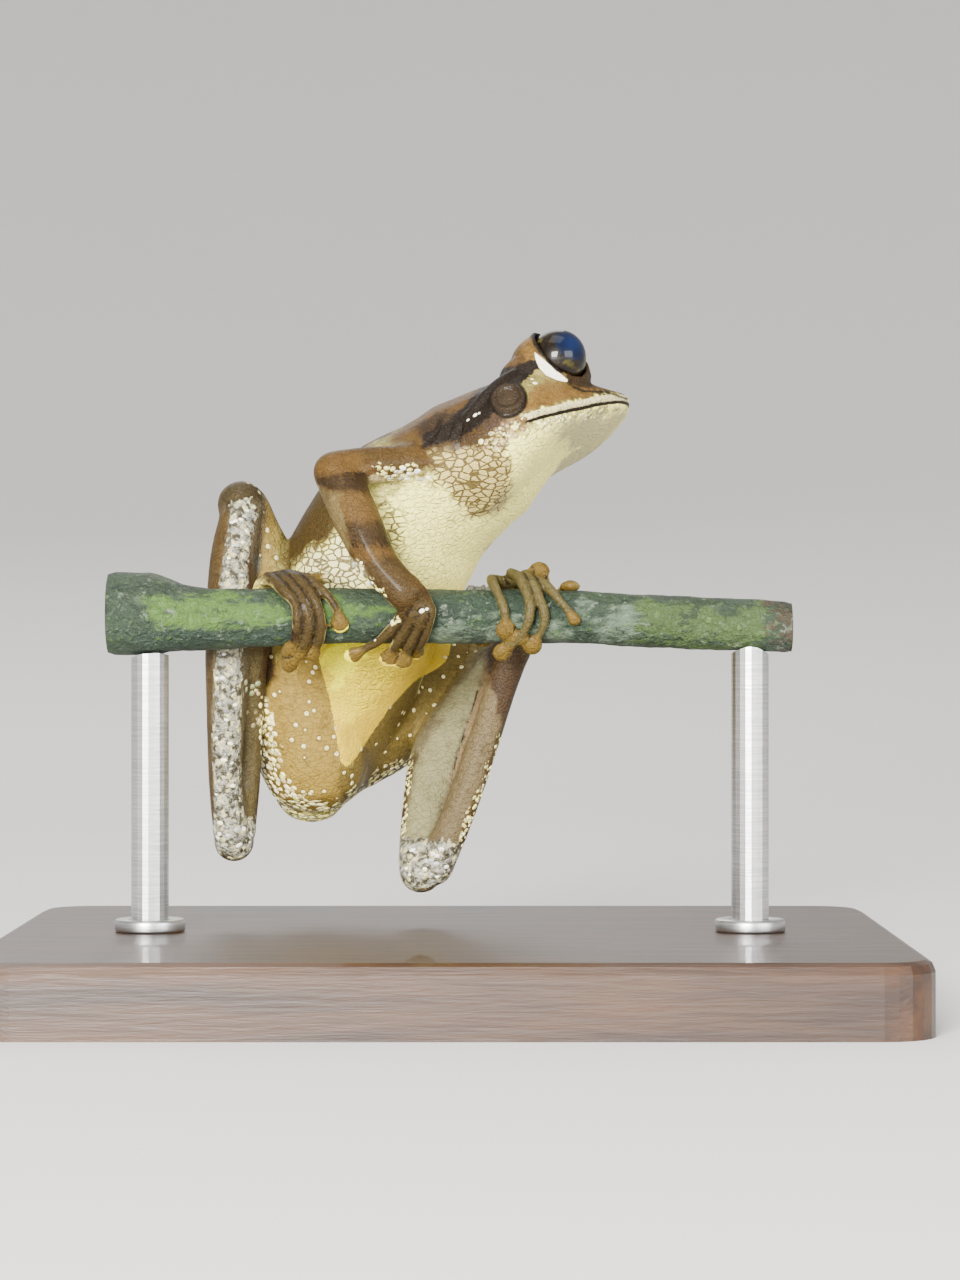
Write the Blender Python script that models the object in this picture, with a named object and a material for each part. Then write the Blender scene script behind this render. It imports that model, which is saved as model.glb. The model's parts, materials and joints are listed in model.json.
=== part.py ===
"""A tree frog clinging to the back of a green stem, on a small display stand.

Every size is in millimetres while the shapes are made, and the finished meshes are
scaled to metres at the end. X runs along the stem, Y away from the viewer and Z up.
The underside of the base lies at Z = 0, and the frog's right side faces the viewer.
"""

import math

import bmesh
import bpy
from mathutils import Matrix, Vector

METRES_PER_MM = 0.001
GAP = 0.3

# Stem and stand
STEM_HALF_LENGTH = 29.0
# Stem stations: x, height of the middle, radius
STEM = (
    (-STEM_HALF_LENGTH, 33.0, 3.45),
    (-25.4, 33.0, 3.45),
    (-23.8, 32.84, 3.05),
    (-22.4, 32.62, 2.72),
    (-20.4, 32.58, 2.56),
    (-16.0, 32.68, 2.4),
    (-8.5, 32.8, 2.28),
    (0.8, 32.82, 2.23),
    (11.0, 32.69, 2.16),
    (19.5, 32.3, 2.18),
    (STEM_HALF_LENGTH, 31.85, 2.1),
)
STEM_SIDES = 24
BASE_SIZE = (76.0, 60.0, 6.0)
BASE_CORNER = 4.5
BASE_EDGE = 0.9
ROD_RADIUS = 1.6
ROD_AT = 25.5
ROD_SIDES = 20

# Skeleton: joints of the frog, each an (x, y, z) place
SNOUT = Vector((15.9, 16.0, 51.8))
HEAD_FORWARD = Vector((0.81, 0.52, 0.28))
HEAD_LEFT = Vector((-0.36, 0.81, -0.47))

SHOULDER_RIGHT = (0.6, 5.6, 45.4)
ELBOW_RIGHT = (-9.8, 0.2, 45.2)
WRIST_RIGHT = (-3.8, -4.0, 34.8)
SHOULDER_LEFT = (3.4, 15.4, 42.4)
ELBOW_LEFT = (-1.8, 19.2, 33.0)
WRIST_LEFT = (4.9, 6.5, 34.2)
HIP_RIGHT = (-12.2, 13.2, 19.9)
KNEE_RIGHT = (-17.8, 9.2, 42.4)
HEEL_RIGHT = (-19.1, 7.2, 13.6)
HIP_LEFT = (-9.4, 18.0, 21.4)
KNEE_LEFT = (4.9, 27.0, 32.2)
HEEL_LEFT = (-2.9, 8.4, 11.2)

# Trunk stations from rump to neck: x, y, z, half width, half depth
TRUNK = (
    (-12.7, 17.0, 17.0, 3.4, 2.6),
    (-11.8, 16.2, 19.6, 5.2, 4.0),
    (-10.4, 15.2, 24.6, 6.6, 5.2),
    (-8.8, 13.6, 30.9, 8.0, 6.4),
    (-6.7, 12.6, 36.9, 9.0, 6.8),
    (-3.8, 11.4, 41.7, 9.3, 6.4),
    (-0.4, 10.4, 44.3, 8.9, 5.5),
    (3.4, 10.4, 47.1, 8.1, 5.1),
    (7.0, 11.1, 49.8, 6.8, 4.0),
)
TRUNK_SIDE_AT_RUMP = Vector((0.69, 0.63, -0.36))
TRUNK_SIDE_AT_NECK = Vector((0.20, 0.93, -0.20))

# Head stations from snout to nape: f, half width, crown, throat, mouth height
HEAD = (
    (-0.95, 0.8, 0.05, -0.95, -0.4),
    (-1.25, 1.9, 0.3, -1.3, -0.45),
    (-1.85, 2.9, 0.6, -1.65, -0.55),
    (-2.8, 3.9, 0.95, -2.0, -0.7),
    (-4.3, 5.0, 1.5, -2.4, -0.85),
    (-6.8, 6.15, 2.9, -2.45, -1.05),
    (-9.8, 7.25, 4.4, -2.95, -1.35),
    (-13.0, 8.1, 4.9, -3.9, -1.5),
    (-16.2, 8.1, 3.8, -5.0, -1.45),
    (-18.6, 6.6, 2.6, -5.2, -1.4),
    (-20.4, 4.0, 1.6, -3.6, -1.4),
)
NECK_CUT_AT = Vector((1.9, 9.0, 47.6))
NECK_CUT_NORMAL = Vector((0.66, 0.10, 0.74))
LIP_ROUNDING = 0.7
LIP_STEP = 0.15
# Flatness of the skull's section along the head: f, sideways, upwards
SKULL_FLATNESS = ((-8.5, 0.66, 0.86), (-4.0, 1.1, 1.15), (-1.0, 1.0, 1.0))
JAW_FLATNESS = (1.0, 1.1)
JAW_BACKSET = 0.35

EYE_AT = (-8.55, 5.9, 3.8)
EYE_RADIUS = 2.5
EYE_AXIS = (0.61, 0.78, 0.11)
LID_BACKSET = 1.5
LID_RADIUS = 3.15
BROW_AT = (-9.9, 4.2, 2.7)
BROW_SIZE = (4.6, 3.5, 3.3)
LID_RING = 2.88
LID_THICK = 0.32
LID_FORWARD = -0.25
EAR_AT = (-16.4, 23.5)
EAR_RING = 1.35
EAR_THICK = 0.28
EAR_FOLD = (
    (-11.6, 54.0, 0.5),
    (-13.8, 50.0, 0.55),
    (-16.2, 49.0, 0.6),
    (-18.3, 48.0, 0.55),
    (-19.8, 43.0, 0.4),
)
NOSTRIL_AT = (-2.8, 64.0)
NOSTRIL_BUMP = (0.7, 0.5, 0.4)
NOSTRIL_SUNK = -0.2
NOSTRIL_HOLE = 0.36
NOSTRIL_HOLE_HEIGHT = 0.45

DIGIT_SIDES = 7
DIGIT_TAPER = 0.3
DIGIT_DEPTH = 0.85
DISC_LENGTH = 1.12
DISC_DEPTH = 0.5
# Half width and disc radius of the digits away from the viewer, of those nearer and of the outer finger
FAR_DIGIT = (0.5, 0.95)
NEAR_DIGIT = (0.54, 0.92)
SLIM_DIGIT = (0.5, 0.62)
SHORT_DIGIT = 4
RAISED_DISC_FACING = Vector((0.2, -0.9, 0.4)).normalized()
# A digit that ends further round the stem than this hangs its disc towards the viewer
HUNG_DISC_FACING = Vector((0.0, -0.86, -0.51)).normalized()
HUNG_DISC_BEYOND = 130
LIMB_SIDES = 14
TRUNK_SIDES = 26
TRUNK_ROUNDNESS = 2.15
SKULL_SIDES = 28
JAW_SIDES = 24
EYE_FACETS = (20, 11)
SHARP_DEGREES = 50
SMALLEST_EDGES = (0.004, 0.003, 0.002, 0.001, 0.0005, 0.0001)


def blend(stations, per_span):
    """Return smooth samples through rows of numbers, with a Catmull-Rom curve."""
    rows = [list(map(float, row)) for row in stations]
    first = [2 * a - b for a, b in zip(rows[0], rows[1])]
    last = [2 * a - b for a, b in zip(rows[-1], rows[-2])]
    padded = [first] + rows + [last]
    samples = []
    for index in range(1, len(rows)):
        before, start, end, after = padded[index - 1:index + 3]
        for step in range(per_span):
            t = step / per_span
            samples.append([
                0.5 * (2 * b + (c - a) * t + (2 * a - 5 * b + 4 * c - d) * t * t
                       + (3 * b - a - 3 * c + d) * t ** 3)
                for a, b, c, d in zip(before, start, end, after)
            ])
    samples.append(rows[-1])
    return samples


def signed_power(value, power):
    """Raise the size of a number to a power and keep its sign."""
    return math.copysign(abs(value) ** power, value)


def skin_rings(name, rings, start_pole, end_pole):
    """Make a closed object from rings of equal count and a point at each end."""
    mesh_data = bmesh.new()
    loops = [[mesh_data.verts.new(point) for point in ring] for ring in rings]
    count = len(loops[0])
    for lower, upper in zip(loops, loops[1:]):
        for index in range(count):
            following = (index + 1) % count
            mesh_data.faces.new((lower[index], lower[following], upper[following], upper[index]))
    start = mesh_data.verts.new(start_pole)
    end = mesh_data.verts.new(end_pole)
    for index in range(count):
        following = (index + 1) % count
        mesh_data.faces.new((start, loops[0][following], loops[0][index]))
        mesh_data.faces.new((end, loops[-1][index], loops[-1][following]))
    bmesh.ops.recalc_face_normals(mesh_data, faces=mesh_data.faces)
    mesh = bpy.data.meshes.new(name)
    mesh_data.to_mesh(mesh)
    mesh_data.free()
    piece = bpy.data.objects.new(name, mesh)
    bpy.context.scene.collection.objects.link(piece)
    return piece


def tube(
    stations, side, end_side=None, sides=LIMB_SIDES, per_span=3, grow=0.0, roundness=2.0, caps=(32, 62)
):
    """Loft an oval tube with rounded ends through rows of x, y, z, half width, half depth."""
    samples = blend(stations, per_span)
    centres = [Vector(row[:3]) for row in samples]
    halves = [(row[3] + grow, row[4] + grow) for row in samples]
    side = Vector(side)
    end_side = Vector(end_side) if end_side else side
    last = len(centres) - 1
    frames = []
    for index, centre in enumerate(centres):
        tangent = (centres[min(index + 1, last)] - centres[max(index - 1, 0)]).normalized()
        wanted = side.lerp(end_side, index / last)
        across = (wanted - tangent * wanted.dot(tangent)).normalized()
        frames.append((centre, tangent, across, tangent.cross(across)))
    power = 2.0 / roundness

    def ring(frame, half, scale, shift):
        """Return the points of one ring, scaled and moved along the tangent."""
        centre, tangent, across, upward = frame
        points = []
        for index in range(sides):
            angle = 2 * math.pi * index / sides
            wide = half[0] * scale * signed_power(math.cos(angle), power)
            deep = half[1] * scale * signed_power(math.sin(angle), power)
            points.append(centre + tangent * shift + across * wide + upward * deep)
        return points

    start_reach = min(halves[0])
    end_reach = min(halves[-1])
    rings = [
        ring(frames[0], halves[0], math.cos(angle), -start_reach * math.sin(angle))
        for angle in map(math.radians, reversed(caps))
    ]
    rings += [ring(frame, half, 1.0, 0.0) for frame, half in zip(frames, halves)]
    rings += [
        ring(frames[-1], halves[-1], math.cos(angle), end_reach * math.sin(angle))
        for angle in map(math.radians, caps)
    ]
    start_pole = centres[0] - frames[0][1] * start_reach
    end_pole = centres[-1] + frames[-1][1] * end_reach
    return skin_rings("tube", rings, start_pole, end_pole)


def ellipsoid(centre, sizes, axes, sides=12, rings=6, grow=0.0):
    """Make an ellipsoid whose half sizes lie along the three given directions."""
    halves = [size + grow for size in sizes]
    centre = Vector(centre)
    loops = []
    for row in range(1, rings):
        polar = math.pi * row / rings
        loop = []
        for index in range(sides):
            angle = 2 * math.pi * index / sides
            loop.append(
                centre
                + axes[0] * halves[0] * math.sin(polar) * math.cos(angle)
                + axes[1] * halves[1] * math.sin(polar) * math.sin(angle)
                + axes[2] * halves[2] * math.cos(polar)
            )
        loops.append(loop)
    return skin_rings("ellipsoid", loops, centre + axes[2] * halves[2], centre - axes[2] * halves[2])


def torus(centre, axis, major, minor, around=18, sides=5, grow=0.0):
    """Make a ring of round section about an axis."""
    axis = Vector(axis).normalized()
    across = axis.orthogonal().normalized()
    upward = axis.cross(across)
    centre = Vector(centre)
    mesh_data = bmesh.new()
    loops = []
    for index in range(around):
        angle = 2 * math.pi * index / around
        out = across * math.cos(angle) + upward * math.sin(angle)
        loop = []
        for corner in range(sides):
            turn = 2 * math.pi * corner / sides
            reach = major + (minor + grow) * math.cos(turn)
            loop.append(mesh_data.verts.new(centre + out * reach + axis * (minor + grow) * math.sin(turn)))
        loops.append(loop)
    for index in range(around):
        here = loops[index]
        there = loops[(index + 1) % around]
        for corner in range(sides):
            following = (corner + 1) % sides
            mesh_data.faces.new((here[corner], here[following], there[following], there[corner]))
    bmesh.ops.recalc_face_normals(mesh_data, faces=mesh_data.faces)
    mesh = bpy.data.meshes.new("ring")
    mesh_data.to_mesh(mesh)
    mesh_data.free()
    piece = bpy.data.objects.new("ring", mesh)
    bpy.context.scene.collection.objects.link(piece)
    return piece


def apply_boolean(piece, operation, operand):
    """Apply one Boolean of a piece with an object or a collection."""
    modifier = piece.modifiers.new("boolean", "BOOLEAN")
    modifier.operation = operation
    modifier.solver = "MANIFOLD"
    if isinstance(operand, bpy.types.Collection):
        modifier.operand_type = "COLLECTION"
        modifier.collection = operand
    else:
        modifier.object = operand
    bpy.context.view_layer.update()
    evaluated = piece.evaluated_get(bpy.context.evaluated_depsgraph_get())
    result = bpy.data.meshes.new_from_object(evaluated)
    piece.modifiers.clear()
    piece.data = result


def fuse(pieces):
    """Join closed pieces into one object with a single Boolean union."""
    first = pieces[0]
    others = pieces[1:]
    if others:
        group = bpy.data.collections.new("pieces")
        bpy.context.scene.collection.children.link(group)
        for other in others:
            group.objects.link(other)
        apply_boolean(first, "UNION", group)
        for other in others:
            bpy.data.objects.remove(other)
        bpy.data.collections.remove(group)
    return first


def cut_away(piece, cutter):
    """Take one object out of another and remove the cutter."""
    apply_boolean(piece, "DIFFERENCE", cutter)
    bpy.data.objects.remove(cutter)
    return piece


def keep_side(piece, point, normal):
    """Cut a closed piece with a plane and keep what lies on the normal's side."""
    mesh_data = bmesh.new()
    mesh_data.from_mesh(piece.data)
    geometry = mesh_data.verts[:] + mesh_data.edges[:] + mesh_data.faces[:]
    bmesh.ops.bisect_plane(
        mesh_data, geom=geometry, dist=1e-5, plane_co=point, plane_no=normal, clear_inner=True
    )
    rim = [edge for edge in mesh_data.edges if edge.is_boundary]
    bmesh.ops.holes_fill(mesh_data, edges=rim, sides=0)
    bmesh.ops.recalc_face_normals(mesh_data, faces=mesh_data.faces)
    mesh_data.to_mesh(piece.data)
    mesh_data.free()
    return piece


def keep_largest(piece):
    """Clear a piece of its tiniest edges and drop every closed surface but the largest."""
    for smallest in SMALLEST_EDGES:
        mesh_data = bmesh.new()
        mesh_data.from_mesh(piece.data)
        bmesh.ops.dissolve_degenerate(mesh_data, dist=smallest, edges=mesh_data.edges)
        bmesh.ops.triangulate(mesh_data, faces=mesh_data.faces)
        corners = [frozenset(vert.index for vert in edge.verts) for edge in mesh_data.edges]
        if all(edge.is_manifold for edge in mesh_data.edges) and len(set(corners)) == len(corners):
            break
    unseen = set(mesh_data.faces)
    islands = []
    while unseen:
        queue = [unseen.pop()]
        island = list(queue)
        while queue:
            face = queue.pop()
            for edge in face.edges:
                for neighbour in edge.link_faces:
                    if neighbour in unseen:
                        unseen.remove(neighbour)
                        queue.append(neighbour)
                        island.append(neighbour)
        islands.append(island)
    islands.sort(key=lambda island: sum(face.calc_area() for face in island))
    scraps = [face for island in islands[:-1] for face in island]
    bmesh.ops.delete(mesh_data, geom=scraps, context="FACES")
    mesh_data.to_mesh(piece.data)
    mesh_data.free()
    return piece


def stem_radius(x):
    """Return the stem's radius at a place along it."""
    return interpolate([(row[0], row[2]) for row in STEM], x)


def stem_centre(x):
    """Return the middle of the stem at a place along it."""
    return Vector((x, 0.0, interpolate([(row[0], row[1]) for row in STEM], x)))


def on_stem(x, degrees, height):
    """Return a point over the stem's bark; 0 degrees is its top and 90 faces the viewer."""
    angle = math.radians(degrees)
    out = Vector((0.0, -math.sin(angle), math.cos(angle)))
    return stem_centre(x) + out * (stem_radius(x) + height)


def make_stem(grow=0.0):
    """Make the cut length of stem."""
    stations = [(x, 0.0, height, girth, girth) for x, height, girth in STEM]
    rings = []
    for x, y, z, radius, _ in blend(stations, 1):
        ring = []
        for index in range(STEM_SIDES):
            angle = 2 * math.pi * index / STEM_SIDES
            reach = radius + grow
            ring.append((x, y + reach * math.cos(angle), z + reach * math.sin(angle)))
        rings.append(ring)
    return skin_rings("stem", rings, rings_middle(rings[0], -grow), rings_middle(rings[-1], grow))


def rings_middle(ring, shift):
    """Return the middle of a ring, moved along X."""
    middle = sum((Vector(point) for point in ring), Vector()) / len(ring)
    return middle + Vector((shift, 0.0, 0.0))


def make_base():
    """Make the flat base with rounded upright corners."""
    bpy.ops.mesh.primitive_cube_add(size=1.0)
    base = bpy.context.object
    base.data.transform(Matrix.Diagonal((*BASE_SIZE, 1.0)))
    base.data.transform(Matrix.Translation((0.0, 0.0, BASE_SIZE[2] / 2)))
    mesh_data = bmesh.new()
    mesh_data.from_mesh(base.data)
    upright = [
        edge for edge in mesh_data.edges
        if abs((edge.verts[0].co - edge.verts[1].co).normalized().z) > 0.9
    ]
    bmesh.ops.bevel(
        mesh_data, geom=upright, offset=BASE_CORNER, segments=6, affect="EDGES", profile=0.5
    )
    top_rim = [
        edge for edge in mesh_data.edges
        if min(vert.co.z for vert in edge.verts) > BASE_SIZE[2] - 0.01
    ]
    bmesh.ops.bevel(
        mesh_data, geom=top_rim, offset=BASE_EDGE, segments=2, affect="EDGES", profile=0.5
    )
    mesh_data.to_mesh(base.data)
    mesh_data.free()
    return base


def make_rod(x):
    """Make one rod from the base up to a saddle under the stem."""
    foot = BASE_SIZE[2] + GAP
    top = stem_centre(x).z
    rings = []
    for height in (foot, (foot + top) / 2, top):
        rings.append([
            (x + ROD_RADIUS * math.cos(turn), ROD_RADIUS * math.sin(turn), height)
            for turn in (2 * math.pi * index / ROD_SIDES for index in range(ROD_SIDES))
        ])
    rod = skin_rings("rod", rings, (x, 0.0, foot), (x, 0.0, top))
    return cut_away(rod, make_stem(GAP))


def head_axes():
    """Return the head's forward, left and upward directions."""
    forward = HEAD_FORWARD.normalized()
    left = (HEAD_LEFT - forward * HEAD_LEFT.dot(forward)).normalized()
    return forward, left, forward.cross(left)


def from_head(f, l, u):
    """Turn a place in the head's own directions into a place in the world."""
    forward, left, upward = head_axes()
    return SNOUT + forward * f + left * l + upward * u


def head_direction(f, l, u):
    """Turn a direction in the head's own directions into one in the world."""
    forward, left, upward = head_axes()
    return (forward * f + left * l + upward * u).normalized()


def skull_flatness(f):
    """Return the exponents of the skull's section at a place along the head."""
    return tuple(interpolate([(row[0], row[column]) for row in SKULL_FLATNESS], f) for column in (1, 2))


def skull_point(f, degrees, side):
    """Return a place on the skull in the head's own directions; 0 degrees is its side, 90 its crown."""
    stations = sorted(HEAD)
    wide, crown, _, mouth = (
        interpolate([(row[0], row[column]) for row in stations], f) for column in (1, 2, 3, 4)
    )
    angle = math.radians(degrees)
    sideways, upwards = skull_flatness(f)
    l = side * wide * math.cos(angle) ** sideways
    return Vector((f, l, mouth + (crown - mouth) * math.sin(angle) ** upwards))


def on_skull(f, degrees, side, height=0.0):
    """Return a place over the skull in the world, and the outward direction there."""
    around = skull_point(f, degrees + 3, side) - skull_point(f, degrees - 3, side)
    along = skull_point(f + 1.0, degrees, side) - skull_point(f - 1.0, degrees, side)
    outward = (along.cross(around) * side).normalized()
    place = skull_point(f, degrees, side) + outward * height
    return from_head(*place), head_direction(*outward)


def interpolate(pairs, place):
    """Return the value at a place between rows of (place, value)."""
    for (left, near), (right, far) in zip(pairs, pairs[1:]):
        if place <= right:
            return near + (far - near) * max(0.0, place - left) / (right - left)
    return pairs[-1][1]


def make_skull(grow=0.0):
    """Make the upper part of the head, down to its lip."""
    rings = []
    for f, wide, crown, _, mouth in blend(HEAD, 2):
        ring = []
        sideways, upwards = skull_flatness(f)
        for index in range(SKULL_SIDES):
            angle = 2 * math.pi * index / SKULL_SIDES
            l = (wide + grow) * signed_power(math.cos(angle), sideways)
            rise = crown - mouth if math.sin(angle) > 0 else LIP_ROUNDING
            u = mouth + (rise + grow) * signed_power(math.sin(angle), upwards)
            ring.append(from_head(f, l, u))
        rings.append(ring)
    front = HEAD[0]
    back = HEAD[-1]
    snout_tip = from_head(front[0] + 0.2 + grow, 0, (front[2] + front[4]) / 2)
    return skin_rings("skull", rings, snout_tip, from_head(back[0] - 1.5, 0, 0))


def make_jaw(grow=0.0):
    """Make the lower jaw and throat, a little narrower than the upper lip."""
    rings = []
    for f, wide, _, throat, mouth in blend(HEAD, 2):
        ring = []
        top = mouth - LIP_ROUNDING
        for index in range(JAW_SIDES):
            angle = 2 * math.pi * index / JAW_SIDES
            l = (wide - LIP_STEP + grow) * signed_power(math.cos(angle), JAW_FLATNESS[0])
            rise = LIP_ROUNDING if math.sin(angle) > 0 else top - throat
            u = top + (rise + grow) * signed_power(math.sin(angle), JAW_FLATNESS[1])
            ring.append(from_head(f - JAW_BACKSET, l, u))
        rings.append(ring)
    front = HEAD[0]
    back = HEAD[-1]
    chin_tip = from_head(front[0] - 0.2 + grow, 0, (front[3] + front[4]) / 2)
    return skin_rings("jaw", rings, chin_tip, from_head(back[0] - 1.5, 0, -3))


def make_head():
    """Make the whole head forward of the neck, with brows, lids, ears and nostrils."""
    axes = head_axes()
    pieces = [make_skull(), make_jaw(), make_trunk()]
    for side in (-1, 1):
        brow = from_head(BROW_AT[0], BROW_AT[1] * side, BROW_AT[2])
        pieces.append(ellipsoid(brow, BROW_SIZE, axes, 16, 8))
        eye = from_head(EYE_AT[0], EYE_AT[1] * side, EYE_AT[2])
        gaze = head_direction(EYE_AXIS[0], EYE_AXIS[1] * side, EYE_AXIS[2])
        pieces.append(ellipsoid(eye - gaze * LID_BACKSET, (LID_RADIUS,) * 3, axes, 18, 10))
        pieces.append(torus(eye + gaze * LID_FORWARD, gaze, LID_RING, LID_THICK))
        ear, outward = on_skull(*EAR_AT, side)
        pieces.append(torus(ear, outward, EAR_RING, EAR_THICK))
        fold = [(*on_skull(f, degrees, side)[0], thick, thick) for f, degrees, thick in EAR_FOLD]
        pieces.append(tube(fold, axes[2], sides=8, per_span=2))
        nostril, outward = on_skull(*NOSTRIL_AT, side, NOSTRIL_SUNK)
        pieces.append(ellipsoid(nostril, NOSTRIL_BUMP, axes, 10, 5))
    head = fuse(pieces)
    for side in (-1, 1):
        eye = from_head(EYE_AT[0], EYE_AT[1] * side, EYE_AT[2])
        cut_away(head, ellipsoid(eye, (EYE_RADIUS,) * 3, axes, *EYE_FACETS, grow=GAP))
        nostril, outward = on_skull(*NOSTRIL_AT, side, NOSTRIL_HOLE_HEIGHT)
        cut_away(head, ellipsoid(nostril, (NOSTRIL_HOLE,) * 3, axes, 8, 4))
    keep_side(head, NECK_CUT_AT + NECK_CUT_NORMAL.normalized() * GAP / 2, NECK_CUT_NORMAL)
    return head


def make_eye(side):
    """Make one eyeball."""
    eye = from_head(EYE_AT[0], EYE_AT[1] * side, EYE_AT[2])
    return ellipsoid(eye, (EYE_RADIUS,) * 3, head_axes(), *EYE_FACETS)


def make_trunk(grow=0.0):
    """Make the trunk from rump to neck."""
    return tube(
        TRUNK,
        TRUNK_SIDE_AT_RUMP,
        TRUNK_SIDE_AT_NECK,
        sides=TRUNK_SIDES,
        grow=grow,
        roundness=TRUNK_ROUNDNESS,
    )


def make_torso():
    """Make the trunk up to the neck, with the back of the head and the shoulders."""
    shoulders = [
        (*SHOULDER_RIGHT, 2.7, 2.7),
        (1.2, 9.5, 44.9, 3.0, 3.0),
        (2.6, 12.5, 43.6, 3.0, 3.0),
        (*SHOULDER_LEFT, 2.2, 2.2),
    ]
    torso = fuse([make_trunk(), make_skull(), make_jaw(), tube(shoulders, (1, 0, 0.5))])
    keep_side(torso, NECK_CUT_AT - NECK_CUT_NORMAL.normalized() * GAP / 2, -NECK_CUT_NORMAL)
    return torso


def limb(places, halves, side, grow=0.0):
    """Make a limb segment through places with a half width and half depth at each."""
    stations = [(*place, wide, deep) for place, (wide, deep) in zip(places, halves)]
    return tube(stations, side, grow=grow)


def make_thigh_right(grow=0.0):
    """Make the right thigh, from the hip up to the knee."""
    places = (HIP_RIGHT, (-13.0, 12.4, 24.8), (-14.6, 11.4, 30.8), (-16.3, 10.2, 37.0), KNEE_RIGHT)
    halves = ((4.9, 4.4), (4.85, 4.4), (3.8, 3.6), (2.7, 2.6), (1.95, 1.9))
    return limb(places, halves, (1, 0, 0), grow)


def make_shank_right(grow=0.0):
    """Make the right shank, from the knee down to the heel."""
    calf = ((-18.2, 8.0, 42.1), (-18.95, 6.6, 37.6), (-19.3, 6.1, 30.8), (-19.5, 6.2, 25.0))
    places = calf + ((-19.6, 6.8, 18.6), HEEL_RIGHT)
    halves = ((1.8, 1.9), (2.0, 2.2), (2.0, 2.3), (1.7, 2.2), (1.45, 1.7), (1.55, 1.7))
    return limb(places, halves, (1, 0, 0), grow)


def make_tarsus_right(grow=0.0):
    """Make the right tarsus, from the heel up behind the stem."""
    places = (
        (-18.5, 8.9, 13.9),
        (-17.9, 9.6, 18.5),
        (-17.5, 8.9, 24.0),
        (-17.0, 6.4, 29.4),
        (-16.1, 4.9, 33.0),
    )
    halves = ((1.4, 1.4), (1.2, 1.3), (1.1, 1.2), (1.2, 1.0), (1.4, 0.9))
    return limb(places, halves, (1, 0, 0), grow)


def make_thigh_left(grow=0.0):
    """Make the left thigh, from the hip up and away to the knee."""
    places = (HIP_LEFT, (-6.4, 19.6, 23.2), (-1.6, 22.4, 27.0), (2.2, 25.0, 30.2), KNEE_LEFT)
    halves = ((4.4, 4.2), (4.6, 4.4), (3.8, 3.6), (2.7, 2.7), (2.1, 2.1))
    return limb(places, halves, (0, 0.5, -0.8), grow)


def make_shank_left(grow=0.0):
    """Make the left shank, from the knee down to the heel in front."""
    places = ((5.0, 25.6, 31.6), (2.6, 20.4, 26.6), (-0.5, 15.4, 20.8), (-1.8, 12.0, 16.4), HEEL_LEFT)
    halves = ((2.1, 2.1), (2.5, 2.3), (3.0, 2.5), (2.5, 2.1), (1.75, 1.7))
    return limb(places, halves, (1, 0, 0), grow)


def make_tarsus_left(grow=0.0):
    """Make the left tarsus, from the heel up to the back of the stem."""
    places = ((-1.3, 7.6, 10.9), (0.7, 7.2, 15.8), (2.6, 6.9, 21.2), (4.3, 6.6, 26.4), (5.6, 5.9, 30.0))
    halves = ((1.5, 1.5), (1.45, 1.4), (1.4, 1.3), (1.35, 1.2), (1.4, 1.0))
    return limb(places, halves, (1, 0, 0), grow)


def make_upper_arm_right(grow=0.0):
    """Make the right upper arm, from the shoulder across to the elbow."""
    places = (SHOULDER_RIGHT, (-3.4, 2.6, 45.9), (-6.8, 1.0, 45.7), ELBOW_RIGHT)
    halves = ((2.1, 2.3), (1.5, 1.6), (1.5, 1.6), (1.7, 1.7))
    return limb(places, halves, (0, 1, 0), grow)


def make_forearm_right(grow=0.0):
    """Make the right forearm, from the elbow down in front of the chest."""
    places = ((-9.6, 0.0, 44.6), (-8.6, -1.0, 42.6), (-7.4, -2.0, 40.0), (-6.0, -3.0, 37.2), WRIST_RIGHT)
    halves = ((1.75, 1.75), (2.0, 1.9), (1.95, 1.8), (1.7, 1.5), (1.5, 1.2))
    return limb(places, halves, (1, 0, 0.4), grow)


def make_upper_arm_left(grow=0.0):
    """Make the left upper arm, from the shoulder down behind the chest."""
    places = (SHOULDER_LEFT, (0.0, 18.4, 38.2), ELBOW_LEFT)
    halves = ((2.1, 2.1), (1.6, 1.6), (1.7, 1.7))
    return limb(places, halves, (1, 0, 0), grow)


def make_forearm_left(grow=0.0):
    """Make the left forearm, from the elbow forward to the stem."""
    places = ((-1.3, 18.4, 32.5), (1.2, 14.2, 32.5), (3.5, 10.0, 33.1), WRIST_LEFT)
    halves = ((1.7, 1.7), (1.9, 1.8), (1.8, 1.7), (1.4, 1.2))
    return limb(places, halves, (1, 0, 0), grow)


def make_digit(route, size, grow=0.0, knuckle=1.12, facing=None):
    """Make a finger or toe along places over the stem, ending in a flat round disc."""
    wide, disc = size
    points = [on_stem(*place) for place in route]
    count = len(points)
    stations = []
    for index, point in enumerate(points):
        taper = 1.0 + DIGIT_TAPER * (0.5 - index / (count - 1))
        girth = wide * taper * (knuckle if index % 2 else 1.0)
        stations.append((*point, girth, girth * DIGIT_DEPTH))
    x, degrees, _ = route[-1]
    angle = math.radians(degrees)
    hung = HUNG_DISC_FACING if degrees > HUNG_DISC_BEYOND else None
    out = facing or hung or Vector((0.0, -math.sin(angle), math.cos(angle)))
    along = points[-1] - points[-2]
    along = (along - out * along.dot(out)).normalized()
    across = out.cross(along)
    spans = 1 if count > SHORT_DIGIT else 2
    rod = tube(stations, across, sides=DIGIT_SIDES, per_span=spans, grow=grow, caps=(45,))
    pad_size = (disc * DISC_LENGTH, disc, DISC_DEPTH)
    pad = ellipsoid(points[-1], pad_size, (along, across, out), 10, 5, grow=grow)
    return [rod, pad]


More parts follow.
